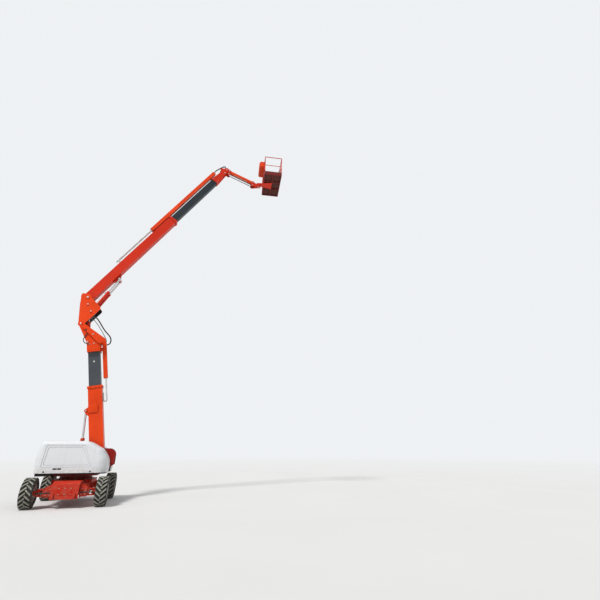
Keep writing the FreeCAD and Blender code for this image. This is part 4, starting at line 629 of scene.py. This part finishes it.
def turntable():
    """Pins, keepers, the counterweight's bolts and eyes, hood hinges and filler caps, in BASE."""
    pivot, foot = at("tower_lift"), at("tower_cylinder_tilt")
    ends, plates = Piece(BASE), Piece(BASE)
    pin_ends(ends, plates, pivot.x - SLEW.x, pivot.z, 0.264, 0.042)
    pin_ends(ends, plates, foot.x - SLEW.x, foot.z, 0.078, 0.030)
    cheek_bolts = ((0.95, 1.66), (1.08, 1.66), (1.08, 1.50), (0.30, 1.05), (0.45, 1.05), (0.60, 1.05))
    for way in SIDES:
        for x, z in cheek_bolts:
            plates.bolt((x, way * 0.250, z), (0, way, 0), 0.012)
    ends.done("turntable_pins", "turntable", ZINC, "steel")
    # The keepers get the darker copy of the red paint, as painted shade.
    plates.done("turntable_keepers", "turntable", SHADED_RED)
    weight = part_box("counterweight")
    bolts = Piece(BASE)
    for y in (-0.78, -0.46, 0.46, 0.78):
        bolts.bolt((weight[0].x - SLEW.x, y, weight[0].z + 0.16), (-1, 0, 0), 0.026)
    for way in SIDES:
        bolts.hoop((-0.82, way * 0.66, weight[1].z + 0.022), 0.032, 0.009, "Y")
    bolts.done("counterweight_bolts", "turntable", BLACK)
    hinge = at("open_left")
    barrels, caps = Piece(BASE), Piece(BASE)
    for way in SIDES:
        y = way * hinge.y
        low, high = span(way, hinge.y - 0.05, hinge.y - 0.004)
        for x in HINGES:
            barrels.bar((x - 0.055, y, hinge.z), (x + 0.055, y, hinge.z), 0.010, 20, 0.001)
            barrels.block((x - 0.05, low, hinge.z - 0.050), (x + 0.05, high, hinge.z - 0.044), 0.001)
    barrels.done("hood_hinges", "turntable", ZINC, "steel")
    for name, aside in (("fuel_tank", 0.10), ("oil_tank", -0.10)):
        low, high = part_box(name)
        x, y, top = (low.x + high.x) / 2 - SLEW.x + aside, (low.y + high.y) / 2, high.z
        caps.bar((x, y, top), (x, y, top + 0.018), 0.048, 32, 0.003)
        caps.bar((x, y, top + 0.018), (x, y, top + 0.045), 0.042, 14, 0.004)
        caps.block((x - 0.035, y - 0.006, top + 0.045), (x + 0.035, y + 0.006, top + 0.058), 0.003)
    caps.done("filler_caps", "turntable", PLASTIC, "dark_plastic")


def hoods():
    """Grip, latches, hinge leaves and the rubber edge of each hood, in BASE."""
    face, roof, foot = 1.2, 2.03, 1.02
    tail, nose, side, inner = -1.107, 1.050, 1.188, 0.345
    rounds = ((tail + 0.23, side - 0.23, 0.23, 180), (nose - 0.32, side - 0.32, 0.32, 90))
    for body, way in (("lid_right", -1), ("lid_left", 1)):
        name = "hood_" + body[4:]
        grip = Piece(BASE)
        for start, end in ((-0.540, -0.445), (-0.405, -0.310)):
            low, high = span(way, face - 0.0175, face - 0.010)
            grip.block((start, low, 1.129), (end, high, 1.171), 0.003)
            low, high = span(way, face - 0.011, face - 0.003)
            grip.block((start + 0.012, low, 1.138), (end - 0.012, high, 1.162), 0.003)
        for x in (-0.80, 0.58):
            grip.bar((x, way * (face - 0.001), 1.066), (x, way * (face + 0.005), 1.066), 0.026, 28, 0.002)
            low, high = span(way, face + 0.005, face + 0.012)
            grip.block((x - 0.020, low, 1.060), (x + 0.020, high, 1.072), 0.002)
        grip.done(f"{name}_grip", body, PLASTIC, "dark_plastic")
        leaves = Piece(BASE)
        low, high = span(way, 0.337, 0.395)
        for x in HINGES:
            leaves.block((x - 0.05, low, roof - 0.001), (x + 0.05, high, roof + 0.004), 0.001)
            for step in (-0.03, 0.03):
                leaves.bolt((x + step, way * 0.376, roof + 0.004), UP, 0.006, False)
        leaves.done(f"{name}_leaves", body, ZINC, "steel")
        points = [(tail, inner), (tail, 0.65)]
        for x, y, radius, start in rounds:
            for step in range(5):
                turn = math.radians(start - step * 22.5)
                points.append((x + radius * math.cos(turn), y + radius * math.sin(turn)))
        points += [(nose, 0.6), (nose, inner)]
        edge = Piece(BASE).pipe([(x, way * y, foot - 0.004) for x, y in points], 0.0075, 10, 4)
        edge.done(f"{name}_rubber_edge", body, HOSE, "dark_plastic")


def collar_bolts(name, body, look, where, middle, half_depth, half_width):
    """The wear pads' bolts round the mouth of a section."""
    piece = Piece(where)
    for way in SIDES:
        for share in (-0.6, 0, 0.6):
            piece.bolt((middle, way * half_width, share * half_depth), (0, way, 0), 0.012)
            piece.bolt((middle, share * half_width, way * half_depth), (0, 0, way), 0.012)
    piece.done(name, body, look, "red_paint")


CHAIN_THICK = 0.044
LINK_PITCH = 0.090
LINK_PIN = (0.054, 0.007)
STRAP = 0.006


def chain_parts(name, body, where, lower, upper, loop, anchor, start, way):
    """Link pins and hoses of a drag chain, and the strap on its fixed end.

    lower and upper are the inner faces of its runs, loop, anchor and start the places of its bend and ends
    along the section, and way is its side of the section.
    """
    outer, middle = (upper - lower + CHAIN_THICK) / 2, (lower + upper + CHAIN_THICK) / 2
    turn_x, half, reach = loop + outer, CHAIN_THICK / 2, outer - CHAIN_THICK / 2
    width, radius = LINK_PIN
    pins = Piece(where)
    for end, face in ((anchor, lower), (start, upper)):
        for k in range(int((end - turn_x) / LINK_PITCH) + 1):
            x, z = turn_x + k * LINK_PITCH + 0.004, way * (face + half)
            pins.bar((x, -width, z), (x, width, z), radius, 12)
    for turn in (135, 180, 225):
        x = turn_x + math.cos(math.radians(turn)) * reach
        z = way * middle + math.sin(math.radians(turn)) * reach
        pins.bar((x, -width, z), (x, width, z), radius, 12)
    strap_start, strap_end = anchor - 0.06, anchor - 0.01
    low, high = span(way, lower + CHAIN_THICK, lower + CHAIN_THICK + STRAP)
    pins.block((strap_start, -0.062, low), (strap_end, 0.062, high), 0.001)
    for side in SIDES:
        low, high = span(way, lower, lower + CHAIN_THICK + STRAP)
        near, far = span(side, 0.052, 0.058)
        pins.block((strap_start, near, low), (strap_end, far, high), 0.001)
        low, high = span(way, lower, lower + STRAP)
        near, far = span(side, 0.056, 0.10)
        pins.block((strap_start, near, low), (strap_end, far, high), 0.001)
        pins.bolt((anchor - 0.035, side * 0.082, way * (lower + STRAP)), (0, 0, way), 0.008)
    pins.done(f"{name}_link_pins", body, ZINC, "steel")
    hoses = Piece(where)
    for y in (-0.017, 0.010):
        points = [(anchor - 0.02, y, way * (lower + half))]
        for turn in range(90, 271, 30):
            off, rise = reach * math.cos(math.radians(turn)), reach * math.sin(math.radians(turn))
            points.append((turn_x + off, y, way * (middle - rise)))
        hoses.pipe([*points, (start - 0.02, y, way * (upper + half))], 0.010, 10, 3)
    hoses.done(f"{name}_hoses", body, HOSE, "dark_plastic")


def sections():
    """Collars, chains, pins and keepers of the tower, the main boom and the upright."""
    collar_bolts("tower_collar_bolts", "tower", RED, TOWER, 2.645, 0.262, 0.212)
    collar_bolts("boom_collar_bolts", "main_boom", BOOM_RED, BOOM, 5.245, 0.212, 0.182)
    chain_parts("tower_chain", "tower", TOWER, 0.240, 0.356, 2.04, 2.40, 3.06, -1)
    chain_parts("boom_chain", "main_boom", BOOM, 0.190, 0.332, 2.04, 3.30, 4.38, 1)
    pins, plates = Piece(TOWER), Piece(TOWER)
    pin_ends(pins, plates, 1.81, 0.34, 0.078, 0.030)
    doubler = [(1.70, 0.25), (1.93, 0.25), (2.09, -0.02), (1.96, -0.10), (1.68, -0.07)]
    for way in SIDES:
        plates.plate(doubler, "Y", *span(way, 0.2115, 0.2205), 0.002)
    pins.done("tower_lug_pins", "tower", ZINC, "steel")
    plates.done("tower_lug_plates", "tower", RED, "red_paint")
    studs, plates = Piece(TOWER), Piece(TOWER)
    cheek, link_face = 0.2605, 0.3285
    for way in SIDES:
        studs.bar((3.643, way * 0.158, 0.007), (3.643, way * 0.1602, 0.007), 0.034, 32)
        for off in (-0.17, -0.06, 0.06, 0.17):
            plates.bolt((4.10, way * cheek, off), (0, way, 0), 0.012)
        studs.bolt((4.349, way * cheek, -0.023), (0, way, 0), 0.022)
    studs.bolt((4.709, -link_face, -0.01), (0, -1, 0), 0.022)
    for x, off in ((4.50, -0.25), (4.98, 0.22)):
        plates.bolt((x, -link_face, off), (0, -1, 0), 0.011)
    pin_ends(studs, plates, 5.216, 0.427, 0.2745, 0.038)
    pin_ends(studs, plates, 4.435, 0.195, 0.2725, 0.030)
    studs.done("tower_head_pins", "tower_extension", ZINC, "steel")
    plates.done("tower_head_keepers", "tower_extension", RED, "red_paint")
    pins, plates = Piece(ELBOW), Piece(ELBOW)
    pin_ends(pins, plates, 0.04, 1.15, 0.248, 0.042)
    for x, z in ((0.10, 0.85), (0.26, 0.56)):
        pin_ends(pins, plates, x, z, 0.246, 0.030)
    pins.done("upright_pins", "upright", ZINC, "steel")
    plates.done("upright_keepers", "upright", RED, "red_paint")


def elbow_hoses():
    """The loops beside the elbow: one on the head's rear side, two from the hose tube to the upright."""
    loop, ends = Piece(TOWER), Piece(TOWER)
    side = -0.276
    loop.pipe([(4.82, -0.30, 0.13), (4.77, side - 0.01, 0.21), (4.66, side - 0.01, 0.29),
               (4.55, side, 0.345), (4.44, side, 0.325), (4.37, side, 0.25), (4.335, side, 0.155)], 0.015)
    fitting(ends, (4.325, side + 0.002, 0.115), (0.2, 0, 1), 0.012)
    loop.done("head_loop_hose", "tower_extension", HOSE, "dark_plastic")
    ends.done("head_loop_fitting", "tower_extension", ZINC, "steel")
    outer = ((0.335, -0.195, 0.300), (0.50, -0.235, 0.300), (0.64, -0.245, 0.16), (0.89, -0.245, -0.18),
             (1.12, -0.24, -0.42), (1.190, -0.225, -0.57), (1.16, -0.13, -0.695), (1.05, -0.02, -0.735))
    inner = ((0.315, -0.105, 0.275), (0.44, -0.078, 0.220), (0.60, -0.077, 0.04), (0.82, -0.077, -0.26),
             (0.97, -0.077, -0.49), (1.01, -0.070, -0.60), (0.99, -0.05, -0.665))
    for name, points, radius in (("outer", outer, 0.024), ("inner", inner, 0.012)):
        hose = Piece(ELBOW).pipe(points, radius, 12, 8).make(f"elbow_hose_{name}", HOSE, "dark_plastic")
        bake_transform(hose)
    ends = Piece(ELBOW)
    fitting(ends, (0.320, -0.193, 0.302), (1, -0.2, -0.1), 0.014)
    fitting(ends, (0.300, -0.123, 0.280), (1, 0.4, -0.2), 0.014)
    ends.done("upright_fittings", "upright", ZINC, "steel")


def cylinder(name, tilt, stroke, radius, mouth, places):
    """Ports, oil line, gland screws and grease nipples of a cylinder with a barrel at each of the places."""
    where = along(at(tilt), JOINTS[stroke]["axis"])
    barrel = JOINTS[tilt]["child"]
    ports, line, nipples = Piece(where), Piece(where), Piece(where)
    near, far, high, screws = 0.12, mouth - 0.11, radius + 0.030, radius - 0.009
    for y in places:
        for x in (near, far):
            ports.block((x - 0.020, y - 0.017, radius - 0.015), (x + 0.020, y + 0.017, radius + 0.018),
                        0.004)
            ports.bar((x, y, radius + 0.016), (x, y, radius + 0.040), 0.011, 6, 0.001)
        line.pipe([(near, y, high), (near + 0.05, y, high + 0.006), (far - 0.05, y, high + 0.006),
                   (far, y, high)], 0.006, 10, 5)
        for aside, rise in ring(8, screws, 0.5):
            ports.bolt((mouth, y + aside, rise), OUT, 0.006, False)
        nipples.bar((0, y, 0.057), (0, y, 0.071), 0.005, 10, 0.001)
    ports.done(f"{name}_ports", barrel, BLACK)
    line.done(f"{name}_oil_line", barrel, STEEL, "steel")
    nipples.done(f"{name}_grease_nipple", barrel, ZINC, "steel")


def cylinders():
    """The three cylinder sets and the pin ends of the boom's lug."""
    cylinder("tower_cylinder", "tower_cylinder_tilt", "tower_cylinder_stroke", 0.065, 1.08, (0,))
    cylinder("level_cylinder", "level_cylinder_tilt", "level_cylinder_stroke", 0.062, 0.90, (0,))
    cylinder("boom_cylinders", "boom_cylinder_tilt", "boom_cylinder_stroke", 0.058, 1.08, (-0.148, 0.148))
    lug = Piece(BOOM)
    for way in SIDES:
        bolted_pin(lug, way, 1.4, -0.345, 0.206, 0.216, 0.036, 0.014)
    lug.done("boom_lug_pin", "main_boom", ZINC, "steel")


def end_pins():
    """Pins and bolts of the knuckle, the boom's tip and the carrier."""
    pins = Piece(TIP)
    face, side, radius = 0.108, 0.148, 0.028
    for way in SIDES:
        for x, z in ((0.14, -0.02), (0.12, -0.20)):
            pins.bar((x, way * face, z), (x, way * 0.113, z), radius, 28, 0.002)
    pins.done("knuckle_pins", "knuckle", ZINC, "steel")
    tip = Piece(BOOM)
    for way in SIDES:
        bolted_pin(tip, way, 9.5, 0, 0.158, 0.163, 0.030, 0.010)
        tip.bar((9.26, way * side, -0.066), (9.26, way * 0.154, -0.066), 0.024, 28, 0.002)
        for x in (8.47, 8.55):
            for off in (-0.11, 0.11):
                tip.bolt((x, way * side, off), (0, way, 0), 0.011)
    tip.done("boom_tip_bolts", "boom_extension", ZINC, "steel")
    ends = Piece(CARRIER)
    turn_x, under = 0.33, -0.150
    for way in SIDES:
        for x, z in ((0, 0), (-0.02, -0.18)):
            bolted_pin(ends, way, x, z, face, 0.116, radius, 0.010)
    for aside, y in ring(8, 0.088, 0.5):
        ends.bolt((turn_x + aside, y, under), (0, 0, -1), 0.009)
    ends.bar((turn_x, 0, under), (turn_x, 0, under - 0.016), 0.045, 32, 0.003)
    ends.done("carrier_pins", "carrier", ZINC, "steel")


def end_hoses():
    """The hoses from the boom's tube over the knuckle to the jib, and the jib's lines, clips and sleeves."""
    clamp_x, clamp_z = 0.02, 0.115
    holder = Piece(TIP)
    holder.block((clamp_x - 0.03, -0.108, 0.060), (clamp_x + 0.03, 0.108, 0.068), 0.001)
    holder.block((clamp_x - 0.02, -0.055, 0.066), (clamp_x + 0.02, 0.055, clamp_z + 0.018), 0.004)
    holder.done("knuckle_hose_clamp", "knuckle", BLACK)
    to_tip = TIP.inverted()
    tube_z, tube_end = 0.345, BOOM @ Vector((8.895, 0, 0.345))
    for number, y in enumerate((-0.036, -0.012, 0.012, 0.036)):
        rise = 0.012 * (number % 2)
        start = ((8.87, y * 1.4, tube_z), (9.00, y * 1.4, 0.375), (9.20, y * 1.2, 0.365))
        points = [to_tip @ (BOOM @ Vector((x, aside, z + rise))) for x, aside, z in start]
        points += [(-0.14, y, 0.25 + rise), (clamp_x - 0.05, y, clamp_z + 0.03), (clamp_x, y, clamp_z)]
        hose = Piece(TIP).pipe(points, 0.013, 10, 8)
        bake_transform(hose.make(f"tip_hose_{number + 1}", HOSE, "dark_plastic"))
    ways, radius = (-0.024, 0.0, 0.024), 0.009
    jib_to_tip = to_tip @ JIB
    for number, y in enumerate(ways):
        points = [(clamp_x, y, clamp_z), (clamp_x + 0.06, y, clamp_z + 0.02), (0.17, y, 0.115),
                  jib_to_tip @ Vector((0.14, y, 0.082)), jib_to_tip @ Vector((0.22, y, 0.080))]
        hose = Piece(TIP).pipe(points, radius, 10, 8)
        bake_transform(hose.make(f"jib_hose_{number + 1}", HOSE, "dark_plastic"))
    run, clips = Piece(JIB), Piece(JIB)
    for y in ways:
        run.pipe([(0.21, y, 0.080), (0.60, y, 0.078), (1.00, y, 0.080), (1.20, y, 0.078)], radius, 10, 6)
    for x in (0.34, 0.74, 1.14):
        clips.block((x - 0.012, -0.042, 0.068), (x + 0.012, 0.042, 0.093), 0.003)
        clips.bolt((x, 0, 0.093), UP, 0.006)
    run.done("jib_hose_run", "jib", HOSE, "dark_plastic")
    clips.done("jib_hose_clips", "jib", BLACK)
    line = ((0.30, -0.058), (0.34, -0.078), (0.65, -0.080), (1.00, -0.078), (1.04, -0.058))
    Piece(JIB).pipe([(x, -0.03, z) for x, z in line], 0.010).done("jib_oil_line", "jib", ZINC, "steel")
    sleeve = Piece(Matrix.Translation((-0.02, 0, -0.18)) @ JIB)
    reach, inset = (at("carrier_level") - at("jib_lift")).length, 0.09
    for way in SIDES:
        sleeve.bar((inset, way * 0.07, 0), (reach - inset, way * 0.07, 0), 0.0178, 20, 0.002)
    sleeve.done("jib_link_sleeves", "jib_link", BLACK)


def basket_floor():
    """Expanded metal on the floor's frame, above and below the deck."""
    near, far, half = 0.252, 1.148, 0.905
    rows, columns = 30, 24
    step_x, step_y = (far - near) / columns, half * 2 / rows
    strand, thick = 0.0032, 0.004
    mesh = Piece(BASKET)
    for low in (0.0005, -0.0085):
        for i in range(columns):
            for j in range(rows):
                x, y = near + i * step_x, -half + j * step_y
                left, right = (x, y + step_y / 2), (x + step_x, y + step_y / 2)
                lower, upper = (x + step_x / 2, y), (x + step_x / 2, y + step_y)
                for one, two in ((left, lower), (lower, right), (right, upper), (upper, left)):
                    side = Vector((two[1] - one[1], one[0] - two[0])).normalized() * strand
                    corners = [(end[0] + sign * side.x, end[1] + sign * side.y)
                               for end, sign in ((one, -1), (two, -1), (two, 1), (one, 1))]
                    mesh.plate(corners, "Z", low, low + thick, 0)
    mesh.done("floor_mesh", "basket", MESH)


def console_shell(near, far, half, bottom, top, sill):
    """The console's body up to the sill, with the walls round its sunk top."""
    body = Piece(BASKET)
    slope, wall, lap = top - sill, 0.014, 0.002
    front, foot = near + 0.09, sill - lap
    profile = [(far, bottom), (far, sill), (front - slope, sill), (near, top - 0.09), (near, bottom + 0.06),
               (near + 0.06, bottom)]
    body.plate(profile, "Y", -half, half, 0.004)
    face = [(front - slope, foot), (front, top), (front + wall, top), (front + wall - slope * 0.2, foot)]
    body.plate(face, "Y", -half, half, 0.002)
    body.plate([(far - wall, foot), (far - wall, top), (far, top), (far, foot)], "Y", -half, half, 0.002)
    end = [(front - slope, foot), (front, top), (far, top), (far, foot)]
    for way in SIDES:
        body.plate(end, "Y", *span(way, half - wall, half), 0.002)
    shell_piece = body.make("console_shell", RED, "dark_plastic")
    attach(shell_piece, "basket")
    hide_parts("control_console")


def console():
    """The control console with levers and switches in its sunk top, and no lettering, in BASKET."""
    near, far, half, bottom, top = -0.0153, 0.2447, 0.45, 0.80, 1.12
    sill = top - 0.062
    console_shell(near, far, half, bottom, top, sill)
    deck, middle = sill + 0.004, 0.155
    face = Piece(BASKET).block((near + 0.10, -half + 0.03, sill), (far - 0.018, half - 0.03, deck), 0.002)
    for y in (-0.30, 0.30):
        face.block((middle - 0.05, y - 0.055, deck), (middle + 0.05, y + 0.055, sill + 0.010), 0.003)
        for k in range(4):
            low = sill + 0.010 + k * 0.006
            face.bar((middle, y, low), (middle, y, sill + 0.016 + k * 0.006), 0.030 - k * 0.005, 24, 0.002)
        face.bar((middle, y, sill + 0.030), (0.160, y, sill + 0.048), 0.005, 12)
        face.ball((0.161, y, sill + 0.050), 0.0105)
    for k in range(8):
        y = -0.175 + k * 0.05
        face.bar((0.150, y, deck), (0.150, y, sill + 0.010), 0.010, 6, 0.001)
        face.bar((0.150, y, sill + 0.010), (0.156, y, sill + 0.032), 0.0035, 10, 0.001)
    for y in (-0.40, -0.195, 0.195, 0.40):
        for x in (0.100, 0.215):
            face.bolt((x, y, deck), UP, 0.005, False)
    for y in (-0.25, 0.0, 0.25):
        face.bar((0.06, y, bottom - 0.030), (0.06, y, bottom + 0.004), 0.022, 24, 0.003)
    face.done("console_panel", "basket", PLASTIC, "dark_plastic")
    button = 0.405
    stop = Piece(BASKET).bar((middle, -button, deck), (middle, -button, sill + 0.018), 0.012, 20)
    stop.bar((middle, -button, sill + 0.018), (middle, -button, sill + 0.034), 0.021, 28, 0.005)
    for y in (0.215, 0.235):
        stop.bar((0.110, y, deck), (0.110, y, sill + 0.010), 0.006, 16, 0.002)
    stop.done("console_stop_button", "basket", STOP_RED, "red_paint")
    key = Piece(BASKET).bar((middle, button, deck), (middle, button, sill + 0.012), 0.016, 24, 0.002)
    key.block((0.153, 0.396, sill + 0.012), (0.157, 0.414, sill + 0.034), 0.001)
    key.done("console_key_switch", "basket", ZINC, "steel")


def basket():
    """Post sockets, bolts, harness eyes, foot switch, document case, grips and gate latch, in BASKET."""
    near, far, half, top = 0.264, 1.136, 0.896, 1.081
    feet, zinc, black = Piece(BASKET), Piece(BASKET), Piece(BASKET)
    corners = [(x, y) for x in (near, far) for y in (-half, half)]
    between = [(far, -0.305), (far, 0.305), (near, -0.45), (near, 0.45), (0.39, half), (1.01, half)]
    for x, y in corners + between:
        feet.bar((x, y, 0.148), (x, y, 0.200), 0.0214, 24, 0.002)
    feet.done("post_sockets", "basket", BOOM_RED, "red_paint")
    for x, y in corners:
        way = 1 if y > 0 else -1
        for z in (0.04, 0.11):
            zinc.bolt((x, way * 0.9145, z), (0, way, 0), 0.0075, False)
    for y in (-0.75, -0.45, -0.15, 0.15, 0.45, 0.75):
        zinc.bolt((1.1545, y, 0.075), OUT, 0.0075, False)
    for y in (-0.12, 0.12):
        for z in (0.02, 0.30):
            zinc.bolt((0.199, y, z), (-1, 0, 0), 0.013)
    for x, y in ring(10, 0.095):
        zinc.bolt((x, y, -0.050), UP, 0.010)
    for x, way in ((near, 1), (far, -1)):
        for y in (-0.62, 0.62):
            zinc.block((x - 0.006, y - 0.035, 0.50), (x + 0.006, y + 0.035, 0.60), 0.003)
            zinc.hoop((x + way * 0.020, y, 0.515), 0.024, 0.005, "Y")
    zinc.done("basket_bolts", "basket", ZINC, "steel")
    black.block((0.55, -0.10, 0.006), (0.75, 0.10, 0.022), 0.004)
    black.block((0.57, -0.085, 0.022), (0.73, 0.085, 0.052), 0.012)
    for y in (-0.096, 0.090):
        black.block((0.56, y, 0.020), (0.74, y + 0.006, 0.105), 0.002)
    black.block((0.56, -0.096, 0.100), (0.74, 0.096, 0.106), 0.002)
    black.block((far - 0.070, -0.16, 0.60), (far - 0.020, 0.16, 0.86), 0.012)
    black.block((far - 0.076, -0.165, 0.83), (far - 0.016, 0.165, 0.865), 0.006)
    for z in (0.66, 0.80):
        black.block((far - 0.022, -0.05, z), (far - 0.004, 0.05, z + 0.03), 0.003)
    black.done("foot_switch_and_case", "basket", PLASTIC, "dark_plastic")
    grip = Piece(BASKET)
    for y in (-0.28, 0.28):
        grip.bar((near, y - 0.16, top), (near, y + 0.16, top), 0.0225, 24, 0.003)
    grip.done("rail_grips", "basket", HOSE, "dark_plastic")
    gate = Piece(BASKET)
    gate.block((0.90, half - 0.020, 0.70), (0.99, half + 0.014, 0.76), 0.004)
    gate.bar((0.955, half, 0.76), (0.955, half, 0.80), 0.006, 14, 0.001)
    gate.ball((0.955, half, 0.805), 0.011)
    gate.done("gate_latch", "gate", BLACK)


wheels()
chassis()
knuckles()
turntable()
hoods()
sections()
elbow_hoses()
cylinders()
end_pins()
end_hoses()
basket_floor()
console()
basket()


# Camera, light and floor

BACKDROP = (0.86, 0.88, 0.90, 1)
SKYLIGHT = (0.92, 0.96, 1.0, 1)
SENSOR = 36
FOCAL_PIXELS, PICTURE_PIXELS = 385, 600


def make_camera():
    """The photograph's camera: near the ground and looking up."""
    heading, pitch = (0.326, 0.946), math.radians(21.3)
    data = bpy.data.cameras.new("camera")
    data.sensor_width = SENSOR
    data.lens = FOCAL_PIXELS / PICTURE_PIXELS * SENSOR
    data.clip_end = 500
    camera = add("camera", data)
    camera.location = (-0.426, -16.99, 1.74)
    look = Vector((heading[0] * math.cos(pitch), heading[1] * math.cos(pitch), math.sin(pitch)))
    camera.rotation_euler = look.to_track_quat("-Z", "Y").to_euler()
    bpy.context.scene.camera = camera


def sun(name, way, energy, angle):
    """A soft lamp far away; angle is how wide it looks, in degrees."""
    data = bpy.data.lights.new(name, "SUN")
    data.energy = energy
    data.angle = math.radians(angle)
    add(name, data).rotation_euler = Vector(way).to_track_quat("-Z", "Y").to_euler()


def make_world():
    """Even light on the part, and the backdrop's colour for camera, glossy and transmission rays."""
    world = bpy.data.worlds.new("studio")
    world.use_nodes = True
    bpy.context.scene.world = world
    tree = world.node_tree
    tree.nodes.clear()

    def highest(one, two):
        node = tree.nodes.new("ShaderNodeMath")
        node.operation = "MAXIMUM"
        tree.links.new(one, node.inputs[0])
        tree.links.new(two, node.inputs[1])
        return node.outputs[0]

    def glow(colour, strength):
        node = tree.nodes.new("ShaderNodeBackground")
        node.inputs[0].default_value = colour
        node.inputs[1].default_value = strength
        return node.outputs[0]

    rays = tree.nodes.new("ShaderNodeLightPath").outputs
    choose = tree.nodes.new("ShaderNodeMixShader")
    shown = highest(rays["Is Camera Ray"], highest(rays["Is Glossy Ray"], rays["Is Transmission Ray"]))
    for place, value in enumerate((shown, glow(SKYLIGHT, 0.48), glow(BACKDROP, 1.0))):
        tree.links.new(value, choose.inputs[place])
    end = tree.nodes.new("ShaderNodeOutputWorld")
    tree.links.new(choose.outputs[0], end.inputs[0])


def make_floor():
    """A pale floor that fades into the backdrop far away from the part."""
    fade_start, fade_end = 22, 90
    mesh = bmesh.new()
    bmesh.ops.create_circle(mesh, cap_ends=True, segments=96, radius=160)
    data = bpy.data.meshes.new("floor")
    mesh.to_mesh(data)
    mesh.free()
    thing = add("floor", data)
    thing.location.z = -0.001
    m = Material("pale_floor")
    m.colour(m.mix(m.cloud(0.25, 6), (0.69, 0.68, 0.66, 1), (0.71, 0.70, 0.68, 1)))
    m.rough(m.cloud(2, 5, 0.7, 0.85))
    m.bump(m.noise(30, 5), 0.15, 0.002)
    length = m.make("ShaderNodeVectorMath", operation="LENGTH")
    m.put(m.places, length.inputs[0])
    glow = m.make("ShaderNodeEmission")
    m.put(BACKDROP, glow.inputs[0])
    mixed = m.make("ShaderNodeMixShader")
    m.put(m.ramp(length.outputs["Value"], fade_start, fade_end), mixed.inputs[0])
    m.put(m.shader.outputs[0], mixed.inputs[1])
    m.put(glow.outputs[0], mixed.inputs[2])
    m.put(mixed.outputs[0], m.tree.nodes["Material Output"].inputs[0])
    data.materials.append(m.material)


make_camera()
sun("key", (0.55, 0.55, -1.0), 2.75, 10)
sun("fill", (-0.7, 0.75, -0.35), 0.2, 40)
make_world()
make_floor()
bpy.context.scene.view_settings.view_transform = "Standard"
